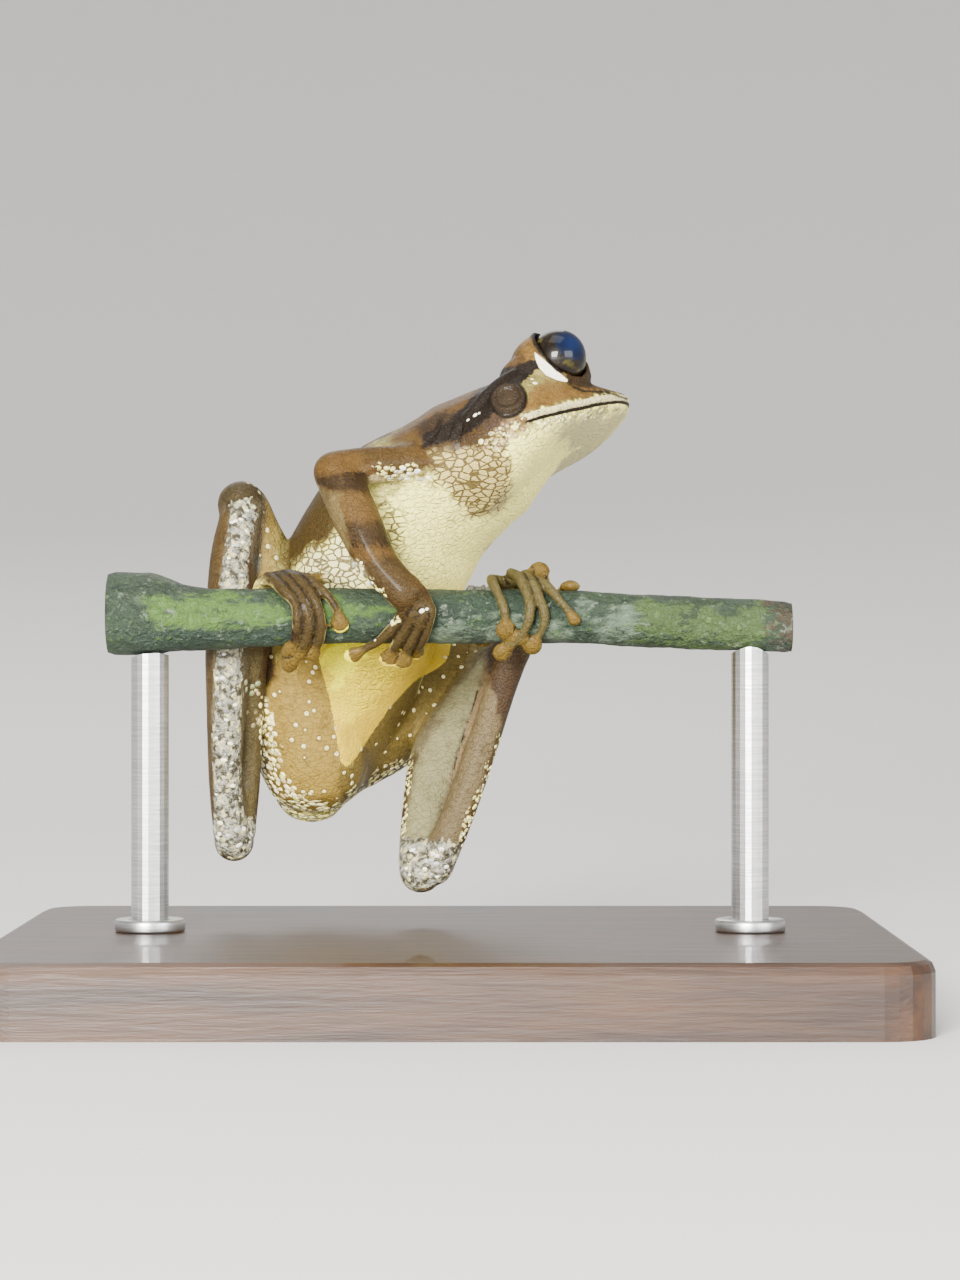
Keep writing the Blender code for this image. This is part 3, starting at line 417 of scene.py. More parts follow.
PARTS: tuple[BodyPart, ...] = (
    BodyPart("head", Coat.HEAD, tuple(HEAD.up), 0.0, (
        (*HEAD.place(-19, 0, 0), 6.5), (*HEAD.place(-10, 0, 0), 6.0),
        (*HEAD.place(-3, 0, -0.5), 3.4), (*HEAD.place(-1, 0, -0.5), 1.8))),
    BodyPart("torso", Coat.TRUNK, (-0.53, 0.6, 0.35), 0.12, (
        (-12.7, 17, 17, 3.0), (-11.8, 16.2, 19.6, 4.6), (-10.4, 15.2, 24.6, 5.9),
        (-8.8, 13.6, 30.9, 7.2), (-6.7, 12.6, 36.9, 7.9), (-3.8, 11.4, 41.7, 7.8),
        (-0.4, 10.4, 44.3, 7.2), (3.4, 10.4, 47.1, 6.6))),
    BodyPart("upper_arm_right", Coat.ARM, (-0.1, -0.35, 0.9), -0.35, (
        (0.6, 5.6, 45.4, 2.1), (-3.4, 2.6, 45.9, 1.5), (-6.8, 1.0, 45.7, 1.5), (-9.8, 0.2, 45.2, 1.7))),
    BodyPart("forearm_right", Coat.ARM, (0.35, -0.9, 0.2), -0.3, (
        (-9.6, 0.0, 44.6, 1.75), (-8.6, -1, 42.6, 2.0), (-7.4, -2.0, 40.0, 1.95), (-6, -3, 37.2, 1.7),
        (-3.8, -4.0, 34.8, 1.5))),
    BodyPart("hand_right", Coat.DIGITS, (0.5, -0.85, 0.0), -0.2, (
        (-3.4, -4.4, 33.6, 1.4), (-3.2, -4.2, 30.6, 1.8))),
    BodyPart("upper_arm_left", Coat.ARM, (0.2, 0.9, 0.2), -0.2, (
        (3.4, 15.4, 42.4, 2.1), (0, 18.4, 38.2, 1.6), (-1.8, 19.2, 33.0, 1.7))),
    BodyPart("forearm_left", Coat.ARM, (0.6, 0.6, -0.5), -0.2, (
        (-1.3, 18.4, 32.5, 1.7), (1.2, 14.2, 32.5, 1.9), (3.5, 10, 33.1, 1.8), (4.9, 6.5, 34.2, 1.4))),
    BodyPart("hand_left", Coat.DIGITS, (0.0, -0.3, 0.95), 0.1, (
        (5.3, 5.0, 34.8, 1.5), (5.8, 1.5, 35.8, 1.6), (6.2, -2.2, 34.4, 2.2))),
    BodyPart("thigh_right", Coat.THIGH, (-0.75, 0.62, 0.2), 0.15, (
        (-12.2, 13.2, 19.9, 4.9), (-13.0, 12.4, 24.8, 4.85), (-14.6, 11.4, 30.8, 3.8),
        (-16.3, 10.2, 37, 2.7), (-17.8, 9.2, 42.4, 1.95))),
    BodyPart("shank_right", Coat.SHANK, (-0.86, 0.5, 0.0), 0.1, (
        (-18.2, 8.0, 42.1, 1.8), (-18.95, 6.6, 37.6, 2.0), (-19.3, 6.1, 30.8, 2.0),
        (-19.5, 6.2, 25, 1.7),
        (-19.6, 6.8, 18.6, 1.45), (-19.1, 7.2, 13.6, 1.55))),
    BodyPart("tarsus_right", Coat.TARSUS, (0.6, 0.3, 0.1), 0.0, (
        (-18.5, 8.9, 13.9, 1.4), (-17.9, 9.6, 18.5, 1.2), (-17.5, 8.9, 24.0, 1.1), (-17, 6.4, 29.4, 1.2),
        (-16.1, 4.9, 33.0, 1.4))),
    BodyPart("foot_right", Coat.DIGITS, (0.2, -0.5, 0.85), -0.1, (
        (-15.9, 4.0, 33.9, 1.5), (-14.8, 1.2, 35.4, 1.9), (-13.4, -2.4, 34.0, 2.2))),
    BodyPart("thigh_left", Coat.THIGH, (0.1, 0.75, 0.65), 0.1, (
        (-9.4, 18.0, 21.4, 4.4), (-6.4, 19.6, 23.2, 4.6), (-1.6, 22.4, 27.0, 3.8), (2.2, 25, 30.2, 2.7),
        (4.9, 27.0, 32.2, 2.1))),
    BodyPart("shank_left", Coat.SHANK, (0.55, 0.6, -0.55), 0.25, (
        (5.0, 25.6, 31.6, 2.1), (2.6, 20.4, 26.6, 2.5), (-0.5, 15.4, 20.8, 3.0), (-1.8, 12, 16.4, 2.5),
        (-2.9, 8.4, 11.2, 1.75))),
    BodyPart("tarsus_left", Coat.TARSUS, (0.7, 0.7, 0.1), 0.0, (
        (-1.3, 7.6, 10.9, 1.5), (0.7, 7.2, 15.8, 1.45), (2.6, 6.9, 21.2, 1.4), (4.3, 6.6, 26.4, 1.35),
        (5.6, 5.9, 30.0, 1.4))),
    BodyPart("foot_left", Coat.DIGITS, (0.0, 0.5, 0.85), -0.1, (
        (5.9, 5.6, 31.0, 1.4), (8.2, 4.0, 32.6, 1.7), (10.4, 3.2, 32.6, 1.8))),
)
FLESH = tuple(part.node for part in PARTS)
ROUND_ENDS = (
    (-18.3, 8.4, 42.6, 2.1), (-18.9, 7.9, 13.2, 1.75), (5.2, 26.6, 32.2, 2.2), (-2.6, 8.0, 10.6, 1.9),
    (-9.8, 0.1, 45.0, 1.85), (-1.7, 19.2, 32.8, 1.8))
JOINTS = (
    ("head", "torso"), ("torso", "upper_arm_right"), ("upper_arm_right", "forearm_right"),
    ("forearm_right", "hand_right"), ("torso", "upper_arm_left"), ("upper_arm_left", "forearm_left"),
    ("forearm_left", "hand_left"), ("torso", "thigh_right"), ("thigh_right", "shank_right"),
    ("shank_right", "tarsus_right"), ("tarsus_right", "foot_right"), ("torso", "thigh_left"),
    ("thigh_left", "shank_left"), ("shank_left", "tarsus_left"), ("tarsus_left", "foot_left"),
    ("thigh_left", "thigh_right"))

# --------------------------------------------------------------------------- marks seen in the picture

TAN = paint(154, 118, 70)
ORANGE = paint(192, 152, 94)
BAR = paint(92, 70, 42)
WHITE = paint(252, 250, 240)
DISC = paint(176, 146, 80)


@dataclass(frozen=True)
class Wash:
    """A patch of colour on some nodes: its outline in the picture and how soft its edge is."""

    nodes: str
    colour: Colour
    outline: Outline
    soft: float = 0.22


@dataclass(frozen=True)
class Zone:
    """A patch where a pattern of the skin shows: its name, its nodes and its outline in the picture."""

    pattern: str
    nodes: str
    outline: Outline
    soft: float = 0.3


WEDGE_NODES = "thigh_right torso thigh_left shank_left"
WEDGE: Outline = (
    (314, 620), (319, 660), (330, 700), (337, 740), (341, 762), (346, 767), (353, 762), (361, 750),
    (373, 732),
    (386, 712), (401, 695), (416, 680), (438, 668), (448, 660), (451, 645), (449, 620))
WEDGE_LEMON: Outline = ((322, 620), (326, 660), (334, 688), (356, 668), (374, 640), (374, 620))
WEDGE_GOLD: Outline = (
    (334, 722), (340, 770), (356, 768), (440, 680), (452, 650), (430, 640), (360, 720))
SEAT_NODES = "torso thigh_right thigh_left"
SEAT: Outline = ((225, 640), (470, 640), (470, 720), (360, 840), (240, 840), (215, 700))
SEAT_WEDGE: Outline = (
    (318, 625), (330, 700), (341, 762), (350, 768), (386, 712), (446, 668), (450, 625))
WASHES: tuple[Wash, ...] = (
    Wash("head", ORANGE, ((503, 374), (510, 352), (526, 332), (540, 318), (543, 345), (538, 364),
        (520, 374))),
    Wash("head torso", TAN, ((520, 348), (443, 400), (380, 432), (345, 448), (352, 458), (400, 442),
        (452, 418), (500, 382), (526, 368))),
    Wash("head", ORANGE, ((521, 410), (529, 393), (544, 382), (566, 385), (602, 389), (590, 396),
        (562, 401), (538, 410))),
    # The top of the snout: its own dark brown together with painted shade.
    Wash("head", BAR, ((566, 384), (570, 372), (600, 366), (630, 378), (628, 396), (604, 387),
        (584, 388))),
    Wash("head", paint(206, 170, 124), ((498, 422), (516, 413), (533, 413), (528, 426), (504, 436)),
        0.3),
    # Painted shade on the throat under the chin.
    Wash("head", paint(226, 218, 164), ((550, 424), (590, 412), (622, 408), (634, 412), (614, 440),
        (586, 458), (568, 448)), 0.6),
    # Painted shade along the right edge of the throat.
    Wash("head torso", paint(236, 224, 150), ((614, 436), (640, 414), (612, 462), (566, 516),
        (530, 575), (518, 566), (552, 508)), 0.7),
    Wash("torso head upper_arm_right", paint(234, 214, 150), ((436, 452), (450, 440), (480, 436),
        (504, 444), (510, 470), (507, 504), (486, 514), (462, 504), (440, 484)), 0.5),
    Wash("torso head", paint(122, 98, 78), ((440, 446), (446, 428), (470, 408), (488, 410),
        (506, 418), (506, 436), (480, 446), (446, 454)), 0.4),
    Wash("torso head", paint(96, 76, 56), ((418, 424), (445, 412), (470, 410), (480, 430),
        (458, 444), (424, 448))),
    Wash("torso", paint(124, 98, 62), ((355, 454), (400, 438), (440, 446), (474, 462), (440, 470),
        (380, 464))),
    Wash("torso", paint(112, 92, 54), ((292, 500), (322, 450), (352, 480), (354, 512), (330, 545),
        (306, 556), (290, 580), (270, 590), (270, 540)), 0.6),
    Wash("torso", paint(246, 238, 182), ((300, 560), (326, 545), (356, 505), (362, 606),
        (288, 606)), 0.4),
    Wash("torso", paint(238, 228, 152), ((377, 478), (382, 478), (398, 548), (420, 596), (410, 598),
        (386, 548))),
    Wash("upper_arm_right forearm_right", TAN, ((312, 474), (316, 454), (336, 446), (364, 452),
        (376, 474), (345, 474))),
    Wash("upper_arm_right", paint(134, 106, 66), ((362, 450), (448, 454), (452, 474), (380, 472))),
    Wash("forearm_right", BAR, ((312, 478), (345, 473), (380, 474), (378, 491), (345, 493),
        (318, 486)), 0.12),
    Wash("forearm_right", paint(156, 122, 76), ((334, 492), (378, 491), (387, 521), (352, 523),
        (338, 512)), 0.12),
    Wash("forearm_right", paint(176, 154, 108), ((316, 486), (336, 494), (346, 520), (352, 552),
        (330, 548), (318, 505))),
    Wash("forearm_right", paint(100, 78, 48), ((344, 524), (387, 520), (394, 545), (352, 547)),
        0.12),
    Wash("forearm_right", paint(150, 116, 70), ((350, 548), (394, 545), (400, 556), (356, 563)),
        0.15),
    Wash("forearm_right hand_right", paint(118, 94, 58), ((354, 563), (400, 556), (422, 598),
        (404, 622), (386, 600), (366, 585))),
    Wash("forearm_right hand_right", paint(214, 202, 164), ((346, 560), (360, 562), (372, 586),
        (392, 618), (388, 626), (360, 600))),
    Wash("hand_left", paint(150, 136, 90), ((470, 560), (600, 560), (600, 680), (470, 680)), 0.3),
    Wash("foot_right", paint(250, 236, 150), ((250, 590), (246, 578), (262, 582), (264, 600),
        (262, 640), (270, 660), (262, 660), (256, 620)), 0.12),
    Wash("foot_right", paint(84, 58, 40), ((276, 612), (290, 600), (296, 640), (284, 660),
        (276, 640))),
    Wash("thigh_right torso thigh_left", paint(214, 182, 104), ((276, 640), (350, 640), (364, 700),
        (356, 770), (330, 806), (288, 790), (262, 730)), 0.6),
    Wash("thigh_right torso thigh_left", paint(178, 154, 94), ((338, 775), (362, 710), (420, 655),
        (470, 625), (476, 690), (400, 786), (344, 816)), 0.6),
    Wash("thigh_right shank_right", paint(136, 112, 104), ((238, 652), (252, 652), (252, 702),
        (240, 702))),
    Wash("thigh_right tarsus_right", paint(128, 98, 66), ((246, 646), (276, 646), (272, 682),
        (250, 684))),
    Wash("shank_right", paint(164, 148, 120), ((222, 500), (262, 484), (292, 590), (252, 720),
        (240, 850), (216, 850), (216, 650))),
    Wash("shank_right thigh_right", paint(112, 98, 68), ((218, 504), (222, 488), (240, 478),
        (258, 484), (264, 500), (248, 506), (232, 512))),
    Wash("shank_right", paint(140, 114, 74), ((200, 815), (200, 647), (210, 588), (214, 540),
        (220, 512), (230, 514), (222, 560), (218, 600), (214, 650), (212, 760), (211, 815)), 0.15),
    Wash("shank_right", paint(158, 164, 166), ((254, 556), (268, 556), (270, 573), (256, 574))),
    Wash("shank_right", paint(146, 96, 74), ((246, 552), (250, 552), (252, 590), (247, 590)), 0.1),
    Wash("tarsus_right", paint(152, 136, 96), ((239, 640), (262, 640), (256, 820), (239, 820))),
    Wash("shank_left", paint(128, 108, 74), ((408, 758), (420, 752), (410, 800), (404, 832),
        (390, 830))),
    Wash("shank_left thigh_left", paint(198, 192, 150), ((417, 757), (455, 688), (482, 660),
        (480, 690), (452, 770), (432, 836), (402, 842), (408, 800)), 0.3),
    Wash("shank_left", paint(206, 172, 132), ((486, 668), (470, 720), (449, 790), (440, 836),
        (446, 838), (458, 790), (476, 725), (492, 676)), 0.2),
    Wash("shank_left", paint(202, 186, 146), ((490, 676), (502, 716), (496, 745), (480, 790),
        (460, 842), (446, 838), (458, 790), (476, 725)), 0.2),
    Wash("shank_left tarsus_left", paint(116, 92, 68), ((490, 640), (524, 640), (518, 700),
        (504, 738), (496, 706), (486, 668))),
    Wash("shank_left tarsus_left", paint(120, 98, 66), ((502, 742), (514, 700), (524, 706),
        (506, 752), (488, 806), (468, 846), (458, 842), (480, 790)), 0.15),
)
ZONES: tuple[Zone, ...] = (
    Zone("net", "torso head upper_arm_right", ((430, 450), (452, 432), (476, 424), (508, 432),
        (512, 470), (508, 508), (486, 516), (462, 508), (434, 486))),
    Zone("blob", "head", ((474, 446), (498, 424), (530, 414), (560, 411), (600, 407), (624, 410),
        (600, 413), (560, 420), (524, 434), (500, 448))),
    Zone("net", "torso", ((286, 480), (345, 455), (366, 500), (372, 560), (366, 604), (282, 604),
        (276, 560)), 0.6),
    Zone("net", "torso", ((376, 500), (404, 502), (406, 540), (392, 556)), 0.5),
    Zone("silver", "shank_right", ((230, 500), (252, 498), (257, 515), (251, 540), (248, 592),
        (241, 647), (240, 700), (242, 850), (214, 852), (213, 700), (216, 647), (221, 590),
        (228, 540)), 0.25),
    Zone("silver", "shank_right tarsus_right", ((204, 822), (256, 816), (260, 856), (200, 856))),
    Zone("silver", "shank_left tarsus_left", ((386, 838), (460, 842), (462, 890), (386, 892))),
    Zone("blob", "thigh_right torso thigh_left", ((252, 690), (262, 686), (282, 778), (308, 800),
        (340, 800), (366, 782), (400, 756), (412, 766), (372, 806), (330, 832), (296, 826),
        (262, 790)), 0.3),
    Zone("blob", "shank_left", ((404, 756), (414, 756), (408, 800), (402, 838), (394, 838))),
    Zone("blob", "shank_left tarsus_left", ((500, 735), (509, 738), (490, 800), (464, 846),
        (456, 842))),
    Zone("blob", "forearm_right hand_right", ((346, 558), (360, 560), (380, 590), (400, 622),
        (386, 628))),
    Zone("blob", "upper_arm_right torso", ((374, 464), (404, 464), (434, 470), (430, 482),
        (378, 480))),
)
# Dark lines: bars of the skin together with painted shade along its folds.
DARK_LINES_AND_FOLD_SHADE: tuple[tuple[str, float, Outline], ...] = (
    ("torso", 0.13, ((383, 436), (385, 450))),
    ("torso", 0.13, ((389, 434), (392, 451))),
    ("torso", 0.14, ((397, 431), (401, 452))),
    ("torso", 0.14, ((409, 429), (413, 450))),
    ("torso head", 0.16, ((440, 420), (434, 436), (424, 446))),
    ("torso head", 0.12, ((452, 424), (446, 440))),
    ("torso head", 0.12, ((462, 424), (458, 444))),
    ("torso", 0.10, ((357, 503), (375, 500))),
    ("torso", 0.10, ((382, 505), (400, 502), (405, 508))),
    ("torso", 0.07, ((478, 540), (486, 552), (480, 566))),
    ("torso", 0.07, ((490, 545), (484, 570))),
    ("head", 0.10, ((573, 387), (583, 391), (607, 392), (627, 399))),
    ("shank_left", 0.07, ((478, 690), (462, 740), (452, 775))),
    ("shank_left", 0.06, ((470, 730), (455, 790), (448, 828))),
    ("forearm_right", 0.10, ((345, 473), (378, 474))),
    ("forearm_right", 0.10, ((352, 546), (394, 544))),
)
STRIPE: Outline = (
    (538, 364), (522, 373), (506, 381), (492, 392), (482, 404), (468, 418), (452, 430), (430, 438))
STRIPE_HALF = ((430, 470, 495, 522, 540), (0.6, 1.0, 1.25, 0.7, 0.35))
EAR: tuple[float, float] = (508.0, 399.0)
WHITE_WEDGE: Outline = (
    (534.5, 352), (540.5, 357), (551, 366), (560, 373.5), (568.5, 380.5), (566, 382), (557, 380),
    (546, 375), (539, 367.5), (535.5, 359))

# --------------------------------------------------------------------------- shader building

Value = Union["Wire", float]


class Wire:
    """A socket of a shader node that takes part in Python sums."""

    def __init__(self, board: "Board", socket: bpy.types.NodeSocket) -> None:
        """Keep the socket and the board that it belongs to."""
        self.board = board
        self.socket = socket

    def __add__(self, other: Value) -> "Wire":
        """Add."""
        return self.board.sum("ADD", self, other)

    def __radd__(self, other: float) -> "Wire":
        """Add to a number."""
        return self.board.sum("ADD", other, self)

    def __sub__(self, other: Value) -> "Wire":
        """Take away."""
        return self.board.sum("SUBTRACT", self, other)

    def __rsub__(self, other: float) -> "Wire":
        """Take away from a number."""
        return self.board.sum("SUBTRACT", other, self)

    def __mul__(self, other: Value) -> "Wire":
        """Multiply."""
        return self.board.sum("MULTIPLY", self, other)

    def __rmul__(self, other: float) -> "Wire":
        """Multiply a number."""
        return self.board.sum("MULTIPLY", other, self)

    def __truediv__(self, other: Value) -> "Wire":
        """Divide."""
        return self.board.sum("DIVIDE", self, other)

    def __neg__(self) -> "Wire":
        """Change sign."""
        return self.board.sum("MULTIPLY", self, -1.0)


class Board:
    """A material and the nodes on it."""

    def __init__(self, name: str) -> None:
        """Start a material with a shader and its output."""
        self.material = bpy.data.materials.new(name)
        self.material.use_nodes = True
        self.tree = self.material.node_tree
        self.shader = self.tree.nodes["Principled BSDF"]

    def node(
        self,
        kind: str,
        settings: Optional[dict[str, Any]] = None,
        inputs: Optional[dict[Union[str, int], Any]] = None,
        output: Union[str, int] = 0,
    ) -> Wire:
        """Add a node.

        Args:
            kind: the node's type, without its first word, which is always ShaderNode.
            settings: its own settings, set before anything is linked.
            inputs: values or wires for its sockets, by name or number.
            output: the socket that is returned.

        Returns:
            The output as a wire.
        """
        made = self.tree.nodes.new("ShaderNode" + kind)
        for key, value in (settings or {}).items():
            if key == "stops":
                self.set_stops(made.color_ramp, value)
            else:
                setattr(made, key, value)
        for key, value in (inputs or {}).items():
            self.feed(made.inputs[key], value)
        return Wire(self, made.outputs[output])

    @staticmethod
    def set_stops(ramp: bpy.types.ColorRamp, stops: Sequence[tuple[float, Colour]]) -> None:
        """Give a colour ramp its stops."""
        while len(ramp.elements) < len(stops):
            ramp.elements.new(0.5)
        for element, (position, colour) in zip(ramp.elements, stops):
            element.position = position
            element.color = (*colour, 1.0)

    def feed(self, socket: bpy.types.NodeSocket, value: Any) -> None:
        """Link a wire to a socket or set the socket's own value."""
        if isinstance(value, Wire):
            self.tree.links.new(value.socket, socket)
        elif isinstance(value, tuple) and socket.type == "RGBA":
            socket.default_value = (*value, 1.0)
        else:
            socket.default_value = value

    def sum(self, operation: str, first: Value, second: Value = 0.0, clamp: bool = False) -> Wire:
        """Join two values with a Math node."""
        return self.node(
            "Math", {"operation": operation, "use_clamp": clamp}, {0: first, 1: second})

    def ease(self, value: Value, low: float, high: float) -> Wire:
        """Rise smoothly from 0 at low to 1 at high; low may be above high."""
        return self.node(
            "MapRange",
            {"interpolation_type": "SMOOTHSTEP"},
            {"Value": value, "From Min": low, "From Max": high},
        )

    def mix(self, share: Value, first: Any, second: Any, blend: str = "MIX") -> Wire:
        """Mix two colours."""
        settings = {"data_type": "RGBA", "blend_type": blend}
        return self.node("Mix", settings, {0: share, 6: first, 7: second}, 2)

    def field(self, name: str) -> Wire:
        """Read a number stored on the mesh."""
        return self.node("Attribute", {"attribute_name": name}, {}, "Fac")

    def colour_field(self, name: str) -> Wire:
        """Read a colour stored on the mesh."""
        return self.node("Attribute", {"attribute_name": name}, {}, "Color")

    def place(self) -> Wire:
        """Return the object's own coordinates in millimetres."""
        own = self.node("TexCoord", {}, {}, "Object")
        return self.node("VectorMath", {"operation": "SCALE"}, {0: own, "Scale": 1 / MM})

    def scaled(self, place: Wire, scale: Place, lean: float = 0.0) -> Wire:
        """Scale a place along the three axes and lean it in the picture, to draw a pattern out."""
        inputs = {"Vector": place, "Rotation": (0.0, lean, 0.0), "Scale": scale}
        return self.node("Mapping", {"vector_type": "POINT"}, inputs)

    def noise(self, place: Wire, per_mm: float, detail: float = 3.0, rough: float = 0.55) -> Wire:
        """Return a cloudy pattern from 0 to 1 with a middle of one half."""
        inputs = {"Vector": place, "Scale": per_mm, "Detail": detail, "Roughness": rough}
        return self.node("TexNoise", {}, inputs, 0)

    def cells(
        self, place: Wire, per_mm: float, feature: str, jitter: float = 1.0, output: str = "Distance"
    ) -> Wire:
        """Return a distance inside a pattern of cells, or each cell's own colour."""
        inputs = {"Vector": place, "Scale": per_mm, "Randomness": jitter}
        return self.node("TexVoronoi", {"feature": feature}, inputs, output)

    def tint(self, place: Wire, per_mm: float, jitter: float = 1.0) -> Wire:
        """Return a number from 0 to 1 that each cell of a pattern has for its own."""
        colour = self.cells(place, per_mm, "F1", jitter, "Color")
        return self.node("SeparateColor", {}, {"Color": colour}, 0)

    def bump(self, height: Wire, depth_mm: float, under: Optional[Wire] = None) -> Wire:
        """Turn a height from 0 to 1 into a normal."""
        inputs = {"Height": height, "Distance": depth_mm * MM, "Strength": 1.0}
        if under is not None:
            inputs["Normal"] = under
        return self.node("Bump", {}, inputs, 0)

    def finish(self, **inputs: Any) -> Material:
        """Feed the shader, by names with low lines for spaces, and return the material."""
        for key, value in inputs.items():
            self.feed(self.shader.inputs[key.replace("_", " ")], value)
        return self.material


class SkinPatterns:
    """The patterns and fields that the skin's colour and its relief share."""

    lean: float = 0.62
    stretch: Place = (0.78, 1.0, 1.22)
    grooves_per_mm: float = 1.5
    fine_per_mm: float = 3.1
    beads_per_mm: float = 1.75
    bead_jitter: float = 0.85
    flakes_per_mm: float = 2.3
    spots_per_mm: float = 0.98

    def __init__(self, board: Board) -> None:
        """Lay the patterns over the body and read the fields stored on it."""
        self.place = board.place()
        leaning = board.scaled(self.place, self.stretch, self.lean)
        self.cloud = board.noise(self.place, 0.5, 4.0) - 0.5
        self.speck = board.noise(self.place, 2.4, 3.0, 0.6) - 0.5
        self.grain = board.noise(self.place, 7.0, 2.0)
        grooves = board.cells(leaning, self.grooves_per_mm, "DISTANCE_TO_EDGE")
        self.groove = board.ease(grooves, 0.15, 0.02)
        self.fine = board.ease(board.cells(self.place, self.fine_per_mm, "DISTANCE_TO_EDGE"), 0.18, 0.02)
        self.bead = board.cells(leaning, self.beads_per_mm, "F1", self.bead_jitter)
        self.bead_tint = board.tint(leaning, self.beads_per_mm, self.bead_jitter)
        self.flake = board.cells(self.place, self.flakes_per_mm, "F1")
        self.flake_tint = board.tint(self.place, self.flakes_per_mm)
        self.spots = board.cells(self.place, self.spots_per_mm, "F1", 0.9)
        # mark: dark lines, with painted shade along folds and between digits
        self.brown, self.thigh, self.mark = (board.field(name) for name in ("brown", "thigh", "mark"))
        self.knob_on = board.ease(board.field("blob") + self.speck * 0.8, 0.35, 0.6)
        self.flake_on = board.ease(board.field("silver") + self.speck * 1.1, 0.35, 0.6)


@dataclass(frozen=True)
class SkinFinish:
    """The frog's moist skin: painted by region, with granules, spots, silver flecks, fine marks and
    painted shade in grooves and folds.
    """

    cream: Colour = paint(255, 250, 206)
    pale: Colour = paint(240, 230, 180)
    # the colour of the painted shade in the grooves between granules
    groove_shade: Colour = paint(214, 198, 140)
    net_brown: Colour = paint(132, 106, 62)
    mottle: Colour = (0.42, 0.37, 0.32)
    dark: Colour = paint(52, 40, 28)
    ear: Colour = paint(78, 63, 45)
    ear_middle: Colour = paint(100, 82, 60)
    white: Colour = WHITE
    fleck: Colour = paint(206, 166, 104)
    yellow: Colour = paint(252, 226, 62)
    lemon: Colour = paint(254, 246, 112)
    gold: Colour = paint(248, 212, 70)
    silver: Colour = paint(214, 212, 192)
    slate: Colour = paint(128, 120, 98)
    spot: Colour = paint(246, 234, 184)

    def make(self, name: str) -> Material:
        """Build the material from the fields stored on the skin."""
        board = Board(name)
        own = SkinPatterns(board)
        skin = board.colour_field("tone")
        for layer in (self.mottled, self.spotted, self.knobbed, self.silvered, self.headed, self.marked):
            skin = layer(board, own, skin)
        wet = 0.42 + 0.24 * board.noise(own.place, 1.6, 2.0) - 0.10 * own.flake_on
        return board.finish(
            Base_Color=skin, Roughness=wet, Normal=self.relief(board, own),
            Specular_IOR_Level=0.14, Coat_Weight=0.06, Coat_Roughness=0.14)

    def mottled(self, board: Board, own: SkinPatterns, skin: Wire) -> Wire:
        """Mottle the brown skin, paint shade into its grooves and draw the net of cells."""
        mottle = board.ease(own.cloud + own.speck * 0.9, 0.0, 0.28) * (0.08 + 0.46 * own.brown)
        skin = board.mix(mottle, skin, self.mottle, "MULTIPLY")
        fleck = board.ease(own.speck - own.cloud * 0.5, 0.10, 0.28) * (0.04 + 0.10 * own.brown)
        skin = board.mix(fleck, skin, self.fleck)
        # painted shade in the grooves between the granules
        skin = board.mix(own.groove * (0.07 + 0.16 * own.brown), skin, self.groove_shade, "MULTIPLY")
        net = board.ease(own.groove * 1.2 + own.speck * 0.6, 0.35, 0.95) * board.field("net")
        return board.mix(net * 0.85, skin, self.net_brown)

    def spotted(self, board: Board, own: SkinPatterns, skin: Wire) -> Wire:
        """Lay the yellow wedge under the belly and the ringed pale spots of the thighs."""
        warm = board.field("warm") + own.cloud * 0.8
        yellow = board.mix(board.ease(warm, 0.1, 0.9), self.yellow, self.gold)
        yellow = board.mix(board.ease(warm, -0.1, -0.8), yellow, self.lemon)
        yellow = board.mix(board.ease(own.fine, 0.2, 0.9) * 0.25, yellow, self.gold)
        skin = board.mix(board.ease(board.field("gold") + own.speck * 0.25, -0.06, 0.06), skin, yellow)
        ring = board.ease(own.spots, 0.36, 0.26) * own.thigh
        skin = board.mix(ring * 0.35, skin, self.net_brown)
        return board.mix(board.ease(own.spots, 0.235, 0.185) * own.thigh, skin, self.spot)

    def knobbed(self, board: Board, own: SkinPatterns, skin: Wire) -> Wire:
        """Set pale knobs, each of its own tint, in darker skin."""
        knob = board.ease(own.bead, 0.50, 0.38)
        skin = board.mix(own.knob_on * (1.0 - knob) * 0.45, skin, self.net_brown)
        return board.mix(own.knob_on * knob, skin, board.mix(own.bead_tint, self.pale, self.cream))

    def silvered(self, board: Board, own: SkinPatterns, skin: Wire) -> Wire:
        """Lay the flaky silver patches."""
        flecked = board.noise(own.place, 1.6, 5.0, 0.7)
        bright = board.ease(flecked + 0.10 * own.flake_tint, 0.46, 0.60)
        metal = board.mix(bright, self.slate, self.silver)
        metal = board.mix(board.ease(own.flake_tint + flecked, 1.26, 1.34) * 0.7, metal, self.pale)
        metal = board.mix(board.ease(own.flake, 0.42, 0.62) * 0.35, metal, self.slate)
        return board.mix(own.flake_on, skin, metal)

    def headed(self, board: Board, own: SkinPatterns, skin: Wire) -> Wire:
        """Paint the stripe behind the eye, the ear and the two lines of the mouth."""
        stripe, ear = board.field("stripe"), board.field("ear")
        skin = board.mix(board.ease(stripe + own.speck * 0.7, -0.12, 0.10), skin, self.dark)
        drum = board.mix(board.ease(own.grain + ear * 0.3, 0.45, 0.9), self.ear, self.ear_middle)
        skin = board.mix(board.ease(ear, -0.42, -0.18), skin, self.dark)
        skin = board.mix(board.ease(ear + own.speck * 0.25, -0.08, 0.10), skin, drum)
        rise, mouth = board.field("rise"), board.ease(board.field("face"), -0.1, 0.1)
        band = 0.25 - board.sum("ABSOLUTE", rise + 0.08)
        skin = board.mix(board.ease(band + own.speck * 0.12, -0.06, 0.05) * mouth, skin, self.pale)
        gape = 0.16 - board.sum("ABSOLUTE", rise + 0.44)
        return board.mix(board.ease(gape + own.speck * 0.06, -0.06, 0.05) * mouth, skin, self.dark)

